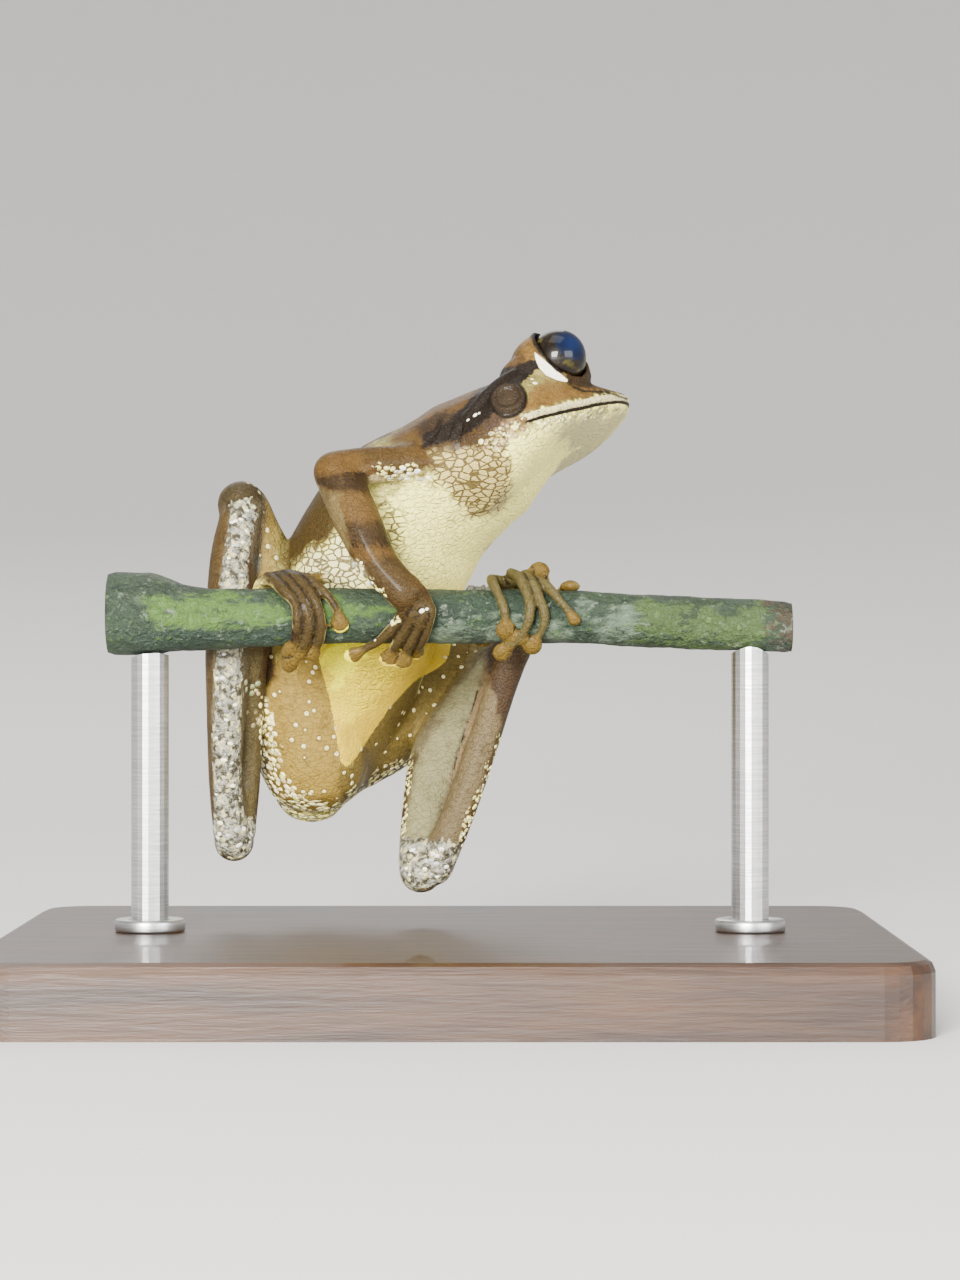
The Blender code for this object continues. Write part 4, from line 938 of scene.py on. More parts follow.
    def marked(self, board: Board, own: SkinPatterns, skin: Wire) -> Wire:
        """Draw the dark lines with the painted shade along folds and between digits, the white wedge
        under the eye and the dark rims of the lids.
        """
        # dark lines and painted shade along folds and between digits
        skin = board.mix(board.ease(own.mark + own.speck * 0.22, -0.05, 0.05) * 0.9, skin, self.dark)
        skin = board.mix(board.ease(board.field("wedge"), -0.04, 0.04), skin, self.white)
        return board.mix(board.ease(board.field("lid"), -0.05, 0.05), skin, self.dark)

    @staticmethod
    def relief(board: Board, own: SkinPatterns) -> Wire:
        """Raise the granules, knobs, flakes and spots, and sink the dark lines."""
        normal = None
        for height, depth_mm in (
            ((1.0 - own.groove) * (1.0 - 0.75 * own.brown), 0.09),
            (1.0 - own.fine, 0.035),
            (board.ease(own.bead, 0.55, 0.1) * own.knob_on, 0.20),
            (board.ease(own.flake, 0.6, 0.1) * own.flake_on, 0.09),
            (board.ease(own.spots, 0.26, 0.08) * own.thigh, 0.09),
            (board.ease(own.mark, 0.05, -0.2), 0.10),
            (own.grain, 0.05),
        ):
            normal = board.bump(height, depth_mm, normal)
        return normal


@dataclass(frozen=True)
class WartFinish:
    """The raised pale tubercles and the white domes of painted highlights, each with its own tint."""

    shade: Colour = paint(150, 134, 98)

    def make(self, name: str) -> Material:
        """Build the material from the tint stored on each tubercle."""
        board = Board(name)
        tint = board.colour_field("tint")
        patch = board.noise(board.place(), 3.2, 2.0)
        colour = board.mix(board.ease(patch, 0.5, 0.75) * 0.35, tint, self.shade)
        return board.finish(Base_Color=colour, Roughness=0.34, Coat_Weight=0.2, Coat_Roughness=0.22)


@dataclass(frozen=True)
class EyeFinish:
    """A dark bronze iris with a fine net, around a wide dark pupil with a painted blue reflection in it.
    """

    bronze: Colour = paint(84, 66, 38)
    dark: Colour = paint(36, 29, 22)
    olive: Colour = paint(124, 116, 54)
    # The pupil's blue is a painted reflection, darker towards the pupil's edge.
    pupil: Colour = (0.003, 0.009, 0.038)
    pupil_edge: Colour = (0.001, 0.004, 0.016)
    rim: Colour = paint(46, 40, 34)
    # socket: painted shade where the globe runs in under the lids.
    socket: Colour = paint(30, 24, 20)

    def make(self, name: str) -> Material:
        """Build the material from the pupil and edge fields stored on the globe."""
        board = Board(name)
        place = board.place()
        net = board.cells(place, 2.4, "DISTANCE_TO_EDGE")
        cloud = board.noise(place, 2.2, 4.0, 0.65)
        iris = board.mix(board.ease(cloud, 0.45, 0.68), self.dark, self.bronze)
        iris = board.mix(board.ease(net, 0.12, 0.02) * 0.8, iris, self.dark)
        iris = board.mix(board.ease(board.noise(place, 0.8, 2.0), 0.58, 0.68) * 0.8, iris, self.olive)
        pupil = board.field("pupil")
        iris = board.mix(board.ease(pupil, 0.16, 0.04) * 0.7, iris, self.rim)
        # painted blue reflection, strongest in the pupil's middle
        depth = board.mix(board.ease(pupil, -0.1, -0.8), self.pupil_edge, self.pupil)
        colour = board.mix(board.ease(pupil, 0.02, -0.02), iris, depth)
        # painted shade where the globe runs in under the lids
        colour = board.mix(board.ease(board.field("edge"), -0.05, 0.1), colour, self.socket)
        return board.finish(
            Base_Color=colour, Roughness=0.4, Specular_IOR_Level=0.1,
            Coat_Weight=0.35, Coat_Roughness=0.03)


@dataclass(frozen=True)
class BarkFinish:
    """Green bark, painted by zone, with dark spots, pale lichen flecks and cut ends of wood."""

    deep: Colour = paint(46, 70, 46)
    moss: Colour = paint(128, 166, 82)
    lichen: Colour = paint(166, 180, 158)
    scar: Colour = paint(92, 80, 56)
    wood: Colour = paint(206, 196, 148)
    wood_dark: Colour = paint(168, 156, 106)

    def make(self, name: str) -> Material:
        """Build the material over the tone stored along the stem."""
        board = Board(name)
        place = board.place()
        long_place = board.scaled(place, (0.5, 1.0, 1.0))
        patch = board.noise(long_place, 0.55, 4.0, 0.6)
        spot = board.noise(place, 1.7, 4.0, 0.65)
        grain = board.noise(long_place, 4.5, 4.0, 0.6)
        flecks = board.noise(place, 1.05, 4.0, 0.7)
        colour = board.colour_field("tone")
        colour = board.mix(board.ease(patch + 0.5 * (spot - 0.5), 0.50, 0.62) * 0.8, colour, self.deep)
        colour = board.mix(board.ease(spot + 0.4 * (0.5 - patch), 0.58, 0.68) * 0.5, colour, self.moss)
        flecked = board.ease(flecks + 0.3 * (grain - 0.5), 0.59, 0.66)
        colour = board.mix(flecked * 0.75, colour, self.lichen)
        colour = board.mix(board.ease(spot, 0.30, 0.24) * 0.7, colour, self.scar)
        rings = board.node(
            "TexWave", {"wave_type": "RINGS", "rings_direction": "X"},
            {"Vector": place, "Scale": 0.9, "Distortion": 0.6, "Detail": 2.0})
        cut = board.mix(rings, self.wood, self.wood_dark)
        colour = board.mix(board.ease(board.field("wood"), 0.4, 0.6), colour, cut)
        normal = board.bump(grain, 0.10)
        normal = board.bump(board.ease(spot, 0.35, 0.65), 0.14, normal)
        return board.finish(Base_Color=colour, Roughness=0.5 + 0.3 * grain, Normal=normal)


@dataclass(frozen=True)
class WoodFinish:
    """Dark satin wood with a straight grain along the base."""

    light: Colour = paint(132, 88, 52)
    dark: Colour = paint(82, 50, 30)

    def make(self, name: str) -> Material:
        """Build the material."""
        board = Board(name)
        place = board.place()
        long_place = board.scaled(place, (0.05, 1.0, 0.6))
        wave = board.noise(long_place, 0.55, 5.0, 0.62)
        pore = board.noise(long_place, 4.0, 3.0, 0.6)
        colour = board.mix(board.ease(wave, 0.36, 0.64), self.dark, self.light)
        colour = board.mix(board.ease(pore, 0.6, 0.72) * 0.6, colour, self.dark)
        return board.finish(
            Base_Color=colour, Roughness=0.36 + 0.16 * pore,
            Normal=board.bump(pore, 0.04), Coat_Weight=0.15)


@dataclass(frozen=True)
class SteelFinish:
    """Brushed steel with fine rings round the rod."""

    bright: Colour = (0.56, 0.56, 0.55)
    dull: Colour = (0.42, 0.42, 0.43)

    def make(self, name: str) -> Material:
        """Build the material."""
        board = Board(name)
        brush = board.noise(board.scaled(board.place(), (0.2, 0.2, 6.0)), 1.5, 3.0)
        colour = board.mix(board.ease(brush, 0.4, 0.6), self.bright, self.dull)
        return board.finish(
            Base_Color=colour, Metallic=1.0,
            Roughness=0.24 + 0.2 * brush, Normal=board.bump(brush, 0.01))


@dataclass(frozen=True)
class StageFinish:
    """A plain pale floor."""

    colour: Colour = (0.80, 0.79, 0.765)

    def make(self, name: str) -> Material:
        """Build the material."""
        return Board(name).finish(Base_Color=self.colour, Roughness=0.9, Specular_IOR_Level=0.2)


# --------------------------------------------------------------------------- modelling helpers


def only(*pieces: Piece) -> None:
    """Select these pieces and nothing else, and make the first one active."""
    for other in bpy.context.view_layer.objects:
        other.select_set(False)
    for piece in pieces:
        piece.select_set(True)
    bpy.context.view_layer.objects.active = pieces[0] if pieces else None


def link(name: str, mesh: bpy.types.Mesh) -> Piece:
    """Put a mesh in the scene as a new piece."""
    piece = bpy.data.objects.new(name, mesh)
    bpy.context.scene.collection.objects.link(piece)
    return piece


def shape_piece(name: str, places: Sequence[Sequence[float]], faces: Sequence[Sequence[int]]) -> Piece:
    """Make a piece from places, in metres, and faces."""
    mesh = bpy.data.meshes.new(name)
    mesh.from_pydata(places, [], faces)
    return link(name, mesh)


def named(name: str) -> Piece:
    """Name the piece that has just been made, and return it."""
    piece = bpy.context.object
    piece.name = name
    piece.data.name = name
    return piece


@contextmanager
def editing(piece: Piece) -> Iterator[None]:
    """Edit the mesh of one piece, and leave its edit mode at the end."""
    only(piece)
    bpy.ops.object.mode_set(mode="EDIT")
    yield
    bpy.ops.object.mode_set(mode="OBJECT")


def choose(piece: Piece, wanted: Callable[[bpy.types.MeshPolygon], bool]) -> None:
    """Select only the faces that a test wants."""
    with editing(piece):
        bpy.ops.mesh.select_mode(type="FACE")
        bpy.ops.mesh.select_all(action="DESELECT")
    for face in piece.data.polygons:
        face.select = wanted(face)


def fan_and_rings(sides: int, rings: int) -> list[tuple[int, ...]]:
    """List the faces of a round sheet.

    Args:
        sides: the places in each ring.
        rings: the number of rings after the middle, which is place 0.

    Returns:
        For each side, the triangle at the middle and then a face for each step outwards.
    """
    faces: list[tuple[int, ...]] = []
    for index in range(sides):
        following = (index + 1) % sides
        faces.append((0, 1 + index, 1 + following))
        for row in range(rings - 1):
            low = 1 + row * sides
            high = low + sides
            faces.append((low + index, high + index, high + following, low + following))
    return faces


def modify(piece: Piece, kind: str, **settings: Any) -> None:
    """Add a modifier to a piece, with its settings, and apply it."""
    only(piece)
    modifier = piece.modifiers.new(kind.lower(), kind)
    for key, value in settings.items():
        setattr(modifier, key, value)
    bpy.ops.object.modifier_apply(modifier=modifier.name)


def rows(items: Any, name: str) -> Array:
    """Read one vector from every item of a mesh."""
    found = np.zeros(len(items) * 3, np.float32)
    items.foreach_get(name, found)
    return found.reshape(-1, 3).astype(float)


def corners(piece: Piece) -> Array:
    """Return the piece's vertices in millimetres."""
    return rows(piece.data.vertices, "co") / MM


def move(piece: Piece, points: Array) -> None:
    """Put the piece's vertices at these places, in millimetres."""
    piece.data.vertices.foreach_set("co", (points * MM).astype(np.float32).ravel())
    piece.data.update()


def store(piece: Piece, name: str, values: Array) -> None:
    """Keep one number or one colour for each vertex on the mesh."""
    if values.ndim == 1:
        made = piece.data.attributes.new(name, "FLOAT", "POINT")
        made.data.foreach_set("value", values.astype(np.float32))
        return
    made = piece.data.attributes.new(name, "FLOAT_COLOR", "POINT")
    filled = np.concatenate([values, np.ones((len(values), 1))], 1)
    made.data.foreach_set("color", filled.astype(np.float32).ravel())


def weigh(piece: Piece, name: str, values: Array, steps: int = 20) -> None:
    """Make a vertex group from a share for each vertex, rounded to a number of steps."""
    group = piece.vertex_groups.new(name=name)
    rounded = np.round(np.clip(values, 0.0, 1.0) * steps).astype(int)
    for step in range(1, steps + 1):
        chosen = np.nonzero(rounded == step)[0].tolist()
        if chosen:
            group.add(chosen, step / steps, "REPLACE")


def turn_out(piece: Piece) -> None:
    """Make every face of a closed piece point outwards."""
    with editing(piece):
        bpy.ops.mesh.select_all(action="SELECT")
        bpy.ops.mesh.normals_make_consistent(inside=False)


def dress(piece: Piece, material: Material) -> None:
    """Give a piece its material, its body and its slot, and log it."""
    piece.data.materials.clear()
    piece.data.materials.append(material)
    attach(piece, BODY)
    LOG.info("%s: %d faces", piece.name, len(piece.data.polygons))


def line_distance(points: Array, route: Sequence[Sequence[float]]) -> Array:
    """Return each point's distance from a line through places."""
    best = np.full(len(points), np.inf)
    for here, there in zip(np.array(route, float), np.array(route[1:], float)):
        span = there - here
        share = np.clip((points - here) @ span / (span @ span), 0.0, 1.0)
        best = np.minimum(best, norm(points - here - share[:, None] * span, axis=1))
    return best


def inside_outline(pixels: Array, outline: Outline) -> Array:
    """Return millimetres inside a closed outline in the picture, below 0 outside it."""
    ring = np.array(outline, float)
    inside = np.zeros(len(pixels), bool)
    for here, there in zip(ring, np.roll(ring, -1, 0)):
        crosses = (here[1] > pixels[:, 1]) != (there[1] > pixels[:, 1])
        rise = there[1] - here[1] if there[1] != here[1] else 1e-9
        side = here[0] + (pixels[:, 1] - here[1]) * (there[0] - here[0]) / rise
        inside ^= crosses & (pixels[:, 0] < side)
    distance = line_distance(pixels, (*outline, outline[0]))
    return np.where(inside, distance, -distance) * VIEW.scale


# --------------------------------------------------------------------------- the skin


@dataclass
class Skin:
    """One skin over the whole body, made from copies of the nodes of flesh.

    Lengths are in millimetres, except for same_place, which is in metres. The shares digits_held
    and face_held say how much of the broad smoothing the digits and the face are spared.
    """

    same_place: float = 1e-7
    swell: float = 0.21
    near: tuple[float, float] = (0.9, 0.5)
    voxel: float = 0.15
    rounds: int = 90
    last_rounds: int = 4
    full_girth: float = 4.4
    least_broad: float = 0.1
    digits_held: float = 0.96
    face_held: float = 0.92
    regain: float = 0.06
    press: float = 0.12
    slim: float = 0.2
    disc_long: float = 1.1
    disc_thick: float = 0.46
    most_triangles: int = 188_000
    coarse_share: float = 0.5
    piece: Optional[Piece] = None
    tree: Optional[BVHTree] = None

    def build(self) -> Piece:
        """Model the skin, paint its fields and dress it."""
        self.join_nodes()
        modify(self.piece, "REMESH", mode="VOXEL", voxel_size=self.voxel * MM, adaptivity=0.0)
        self.keep_outside()
        self.smooth()
        self.press_digits()
        self.thin()
        self.tree = BVHTree.FromObject(self.piece, bpy.context.evaluated_depsgraph_get())
        points = corners(self.piece)
        painter = Painter(points, rows(self.piece.data.vertices, "normal"))
        for name, values in painter.all_fields().items():
            store(self.piece, name, values)
        dress(self.piece, SkinFinish().make("frog_skin_coat"))
        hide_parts(*FLESH)
        return self.piece

    def join_nodes(self) -> None:
        """Copy the nodes, swell them where they meet at a joint, and join them."""
        copies: dict[str, Piece] = {}
        trees: dict[str, BVHTree] = {}
        depsgraph = bpy.context.evaluated_depsgraph_get()
        for name in FLESH:
            twin = link(f"flesh_{name}", frame["nodes"][name].data.copy())
            with editing(twin):
                bpy.ops.mesh.select_all(action="SELECT")
                bpy.ops.mesh.remove_doubles(threshold=self.same_place)
            copies[name] = twin
            depsgraph.update()
            trees[name] = BVHTree.FromObject(twin, depsgraph)
        for name, twin in copies.items():
            others = [b if a == name else a for a, b in JOINTS if name in (a, b)]
            gap = np.array([
                min(trees[other].find_nearest(vert.co)[3] for other in others)
                for vert in twin.data.vertices])
            grow = ease(self.near[0], self.near[1], gap / MM) * self.swell
            if name.startswith(("hand", "foot")):
                grow = grow - self.slim
            move(twin, corners(twin) + rows(twin.data.vertices, "normal") * grow[:, None])
        only(*copies.values(), self.round_digits(), self.round_ends())
        bpy.ops.object.join()
        self.piece = named("frog_skin")

    @staticmethod
    def beads(name: str, places: Array, axes: Array) -> Piece:
        """Set a round bead at each place.

        Args:
            name: the object's name.
            places: the middles, in millimetres.
            axes: for each bead, three half axes as rows, in millimetres.

        Returns:
            One object with all the beads.
        """
        only()
        bpy.ops.mesh.primitive_ico_sphere_add(subdivisions=3, radius=1.0)
        seed = bpy.context.object
        ball = rows(seed.data.vertices, "co")
        faces = np.array([tuple(face.vertices) for face in seed.data.polygons])
        bpy.data.objects.remove(seed)
        verts = np.concatenate([middle + ball @ half for middle, half in zip(places, axes)]) * MM
        every = np.concatenate([faces + step * len(ball) for step in range(len(places))])
        return shape_piece(name, verts.tolist(), every.tolist())

    def round_digits(self) -> Piece:
        """Lay close beads along the digits and a flat one at each disc, to round them."""
        places: list[Array] = []
        axes: list[Array] = []
        for digit in DIGITS:
            points = digit.points()
            places += [*points, np.array(on_stem(*digit.route[-1]))]
            axes += [np.eye(3) * girth for girth in digit.girths(len(points))]
            halves = np.array((self.disc_long * digit.disc, digit.disc, self.disc_thick))
            axes.append(digit.disc_axes() * halves[:, None])
        return self.beads("round_digits", np.array(places), np.array(axes))

    def round_ends(self) -> Piece:
        """Set beads in the knees, heels and elbows, to round them."""
        places = np.array([end[:3] for end in ROUND_ENDS])
        return self.beads("round_ends", places, np.array([np.eye(3) * end[3] for end in ROUND_ENDS]))

    def keep_outside(self) -> None:
        """Delete closed bubbles inside the body and whatever isn't part of the outer skin."""
        only(self.piece)
        lowest = int(corners(self.piece)[:, 2].argmin())
        mesh = self.piece.data
        for item in (mesh.vertices, mesh.edges, mesh.polygons):
            item.foreach_set("select", np.zeros(len(item), bool))
        mesh.vertices[lowest].select = True
        with editing(self.piece):
            bpy.ops.mesh.select_mode(type="VERT")
            bpy.ops.mesh.select_linked()
            bpy.ops.mesh.select_all(action="INVERT")
            bpy.ops.mesh.delete(type="VERT")
        left = corners(self.piece)
        LOG.info("skin spans %s to %s", np.round(left.min(0), 1), np.round(left.max(0), 1))

    def smooth(self) -> None:
        """Smooth the body and limbs broadly, and the digits, lids and lips a little."""
        points = corners(self.piece)
        measures = (part.measure(points) for part in PARTS)
        radii, _, _, girth = (np.stack(found) for found in zip(*measures))
        nearest = girth[radii.argmin(0), np.arange(len(points))]
        broad = np.clip((nearest / self.full_girth) ** 1.5, self.least_broad, 1.0)
        digits = np.array([part.coat is Coat.DIGITS for part in PARTS])
        broad = np.minimum(broad, 1.0 - self.digits_held * ease(1.9, 1.2, radii[digits].min(0)))
        forward, left, up = HEAD.read(points).T
        face = ease(-21.0, -17.0, forward) * ease(14.0, 10.0, np.abs(left)) * ease(12.0, 9.0, up)
        face *= ease(-2.8, -1.6, up)
        weigh(self.piece, "plain", 1.0 - face)
        weigh(self.piece, "broad", np.minimum(broad, 1.0 - self.face_held * face))
        modify(self.piece, "SMOOTH", factor=0.5, iterations=self.rounds, vertex_group="broad")
        modify(self.piece, "SMOOTH", factor=0.5, iterations=self.last_rounds)
        modify(self.piece, "DISPLACE", strength=self.regain * MM, mid_level=0.0, vertex_group="broad")

    def press_digits(self) -> None:
        """Press the fingers and toes down on the stem."""
        points = corners(self.piece)
        x = points[:, 0]
        middle = np.stack([x, np.zeros(len(x)), np.interp(x, STEM_X, STEM_HEIGHT)], 1)
        away = points - middle
        reach = norm(away, axis=1) + TINY
        gap = reach - np.interp(x, STEM_X, STEM_RADIUS)
        digits = np.zeros(len(points))
        for part in PARTS:
            if part.coat is Coat.DIGITS:
                digits = np.maximum(digits, ease(3.2, 2.2, part.measure(points)[0]))
        push = self.press * ease(1.4, 0.3, gap) * digits
        move(self.piece, points - away / reach[:, None] * push[:, None])

    def thin(self) -> None:
        """Thin the mesh to its limit, and the front of the face less than the rest."""
        count = sum(len(face.vertices) - 2 for face in self.piece.data.polygons)
        LOG.info("skin before thinning: %d triangles", count)
        if count > self.most_triangles:
            modify(self.piece, "DECIMATE", ratio=self.most_triangles / count,
                   vertex_group="plain", vertex_group_factor=self.coarse_share)
        only(self.piece)
        bpy.ops.object.shade_smooth()


@dataclass
class Painter:
    """Works out the fields of the skin from the frog's parts and from marks seen in the picture."""

    points: Array
    normals: Array
    crispness: float = 5.0
    digit_reach: float = 7.0
    groove_half: float = 0.07
    bar_share: float = 0.85
    ear_radius: float = 1.38
    lid_half: float = 0.36

    def __post_init__(self) -> None:
        """Set every vertex against the body's parts, the head's directions and the picture."""
        self.own = HEAD.read(self.points)
        measures = (part.measure(self.points) for part in PARTS)
        radii, self.along, self.facing, _ = (np.stack(found) for found in zip(*measures))
        nearness = np.exp(-((radii - radii.min(0)) * self.crispness) ** 2)
        self.shares = nearness / nearness.sum(0)
        self.claim_digits()
        head = self.shares[FLESH.index("head")] > 0.5
        folded, aims = HEAD.near_side(self.points, self.normals)
        self.pixels = VIEW.pixels(np.where(head[:, None], folded, self.points))
        self.toward = ease(0.12, -0.20, np.where(head, aims[:, 1], self.normals[:, 1]))
        self.cloud = ripple(self.points, 0.45, 5)
        self.speck = ripple(self.points, 1.3, 6)

    def claim_digits(self) -> None:
        """Give whatever lies close to a digit to its own hand or foot."""
        chosen = np.nonzero(np.abs(self.points[:, 2] - STEM_HEIGHT[0]) < self.digit_reach)[0]
        places = self.points[chosen]
        reach = np.stack([line_distance(places, digit.points()[::6]) / digit.disc for digit in DIGITS])
        claimed = ease(1.05, 0.8, reach.min(0))
        self.shares[:, chosen] *= 1 - claimed
        owners = np.array([FLESH.index(name) for name in DIGIT_NODES])[reach.argmin(0)]
        self.shares[owners, chosen] += claimed

    def all_fields(self) -> dict[str, Array]:
        """Return every field by name."""
        fields = {name: np.zeros(len(self.points)) for name in ("net", "blob", "silver", "mark")}
        fields["mark"] -= 1.0
        for zone in ZONES:
            inside = self.within(zone.nodes, zone.outline, zone.soft)
            fields[zone.pattern] = np.maximum(fields[zone.pattern], inside)
        for nodes, half_width, route in DARK_LINES_AND_FOLD_SHADE:
            fields["mark"] = np.maximum(fields["mark"], self.line(nodes, half_width, route))
        flank = ease(-0.5, 0.0, self.facing[FLESH.index("torso")])
        sides = self.coat(Coat.TRUNK) * flank * (1 - 0.7 * self.toward)
        fields["net"] = np.maximum(fields["net"], sides)
        # painted shade between neighbouring digits
        fields["mark"] = np.maximum(fields["mark"], self.shade_between_digits())
        seated = self.nodes(WEDGE_NODES) * self.toward > 0.3
        wedge = np.clip(inside_outline(self.pixels, WEDGE), -1, 1)
        fields["gold"] = np.where(seated, wedge, -1.0)
        golden, lemon = (self.within(WEDGE_NODES, outline, 0.6) for outline in (WEDGE_GOLD, WEDGE_LEMON))
        fields["warm"] = golden - lemon
        above = self.above()
        fields["tone"] = self.tone(above)
        fields["brown"] = 1 - ease(0.16, 0.42, fields["tone"] @ LUMINANCE)
        fields["thigh"] = np.clip(self.coat(Coat.THIGH) + self.seat(), 0, 1) * (1 - above)
        fields.update(self.head_fields())
        return fields

    def coat(self, kind: Coat) -> Array:
        """Return how far each vertex belongs to parts of one coat."""
        return sum(self.shares[index] for index, part in enumerate(PARTS) if part.coat is kind)

    def nodes(self, names: str) -> Array:
        """Return how far each vertex belongs to some nodes, named with spaces between."""
        return np.clip(sum(self.shares[FLESH.index(name)] for name in names.split()) * 1.6, 0, 1)

    def within(self, names: str, outline: Outline, soft: float) -> Array:
        """Return how far each vertex lies in an outline, on these nodes, and faces the viewer."""
        share = self.nodes(names) * self.toward
        chosen = np.nonzero(share > 0.01)[0]
        uneven = (self.speck[chosen] + self.cloud[chosen]) * soft * 0.5
        inside = inside_outline(self.pixels[chosen], outline) + uneven
        share[chosen] *= ease(-soft, soft, inside)
        rest = np.ones(len(share), bool)
        rest[chosen] = False
        share[rest] = 0.0
        return share

    def line(self, names: str, half_width: float, route: Outline) -> Array:
        """Return millimetres inside a thin line of the picture, below 0 outside it."""
        share = self.nodes(names) * self.toward
        found = half_width - line_distance(self.pixels, route) * VIEW.scale
        return np.where(share > 0.4, np.maximum(found, -1.0), -1.0)

    def shade_between_digits(self) -> Array:
        """Return millimetres inside the painted shade in the grooves between neighbouring digits."""
        chosen = np.nonzero(self.coat(Coat.DIGITS) > 0.3)[0]
        reach = np.stack([line_distance(self.points[chosen], digit.points()[::4]) for digit in DIGITS])
        first, second = np.sort(reach, axis=0)[:2]
        found = np.full(len(self.points), -1.0)
        found[chosen] = np.where(second < 1.0, self.groove_half - (second - first) / 2, -1.0)
        return found

    def seat(self) -> Array:
        """Return how far the skin under the seat is coloured like the thighs."""
        seat = self.within(SEAT_NODES, SEAT, 0.8)
        return seat - self.within(WEDGE_NODES, SEAT_WEDGE, 0.2) * 1.5

    def above(self) -> Array:
        """Return the share of the back's colour, against that of the underside."""
        uneven = 0.10 * self.cloud + 0.06 * self.speck
        total = np.zeros(len(self.points))
        outward = self.points * (0, 1, 1)
        outward[:, 2] -= np.interp(self.points[:, 0], STEM_X, STEM_HEIGHT)
        outward /= norm(outward, axis=1)[:, None] + TINY
        ridge = np.maximum((outward * self.normals).sum(1), -0.95 * self.normals[:, 1])
        for index, part in enumerate(PARTS):
            facing = self.facing[index]
            if part.coat is Coat.HEAD:
                facing = (self.rise() - 0.15) * 0.5
            if part.coat is Coat.DIGITS:
                facing = ridge - 0.55
            total += self.shares[index] * ease(-0.12, 0.12, facing - part.edge + uneven)
        return total

    def rise(self) -> Array:
        """Return the height over the line of the mouth."""
        return self.own[:, 2] - np.interp(self.own[:, 0], MOUTH_F, MOUTH_U)

    def tone(self, above: Array) -> Array:
        """Return the broad colour of every vertex.

        Args:
            above: the share of the back's colour.

        Returns:
            Colours in linear light.
        """
        tone = np.zeros((len(self.points), 3))
        bars = np.zeros(len(self.points))
        for index, part in enumerate(PARTS):
            upper, under, pitch = part.coat.value
            mixed = above[:, None] * np.array(upper) + (1 - above[:, None]) * np.array(under)
            tone += self.shares[index][:, None] * mixed
            wave = np.cos(2 * math.pi * (self.along[index] / pitch + 0.08 * self.cloud + 0.15 * index))
            bars += self.shares[index] * ease(0.35, 0.65, wave + 0.25 * self.speck)
        bars *= above * (1 - self.toward * (1 - 0.3 * self.coat(Coat.DIGITS)))
        tone += (bars * self.bar_share)[:, None] * (np.array(BAR) - tone)
        for wash in WASHES:
            share = self.within(wash.nodes, wash.outline, wash.soft)[:, None]
            tone += share * (np.array(wash.colour) - tone)
        tips = np.full(len(self.points), np.inf)
        for digit in DIGITS:
            tip = np.array(on_stem(*digit.route[-1]))
            tips = np.minimum(tips, norm(self.points - tip, axis=1) / digit.disc)
        disc = (ease(1.5, 1.05, tips + 0.15 * self.speck) * self.coat(Coat.DIGITS))[:, None]
        return tone + disc * (np.array(DISC) - tone)

    def head_fields(self) -> dict[str, Array]:
        """Return the crisp fields of the mouth, lids, ears and stripes, above 0 inside each."""
        f, l, _ = self.own.T
        width = np.where(np.abs(l) + ease(-7.0, -2.5, f) * 3 > 1.5, 0.0, -1.0)
        fields = {"rise": self.rise(), "face": np.minimum((f + 16.3) * 0.5, 1.0) + width}
        lid = np.full(len(f), -2.0)
        for side in (-1, 1):
            middle, gaze = HEAD.eye(side)
            offset = self.points - middle
            forward = offset @ gaze
            reach = norm(offset - forward[:, None] * gaze, axis=1)
            from_rim = np.hypot(forward - LID_FORWARD - 0.1, reach - LID_RING + 0.12)
            lid = np.maximum(lid, self.lid_half - from_rim)
        fields["lid"] = lid
        head = self.nodes("head torso")
        shown = (self.toward > 0.3) & (head > 0.4)
        distance = line_distance(self.pixels, STRIPE) * VIEW.scale
        widening = np.interp(self.pixels[:, 0], *STRIPE_HALF)
        fields["stripe"] = np.where(shown, widening - distance, -1.5)
        around = norm(self.pixels - np.array(EAR), axis=1) * VIEW.scale
        fields["ear"] = np.where(shown, self.ear_radius - around, -2.0)
        fields["wedge"] = np.where(shown, inside_outline(self.pixels, WHITE_WEDGE), -1.0)
        return fields


# --------------------------------------------------------------------------- tubercles


@dataclass(frozen=True)
class Patch:
    """A patch of tubercles: outline in the picture, number, radii, tints, and how they are drawn out."""

    outline: Outline
    count: int
    radii: tuple[float, float]
    tints: tuple[Colour, ...]
    stretch: float = 1.0
    lean: float = 0.0


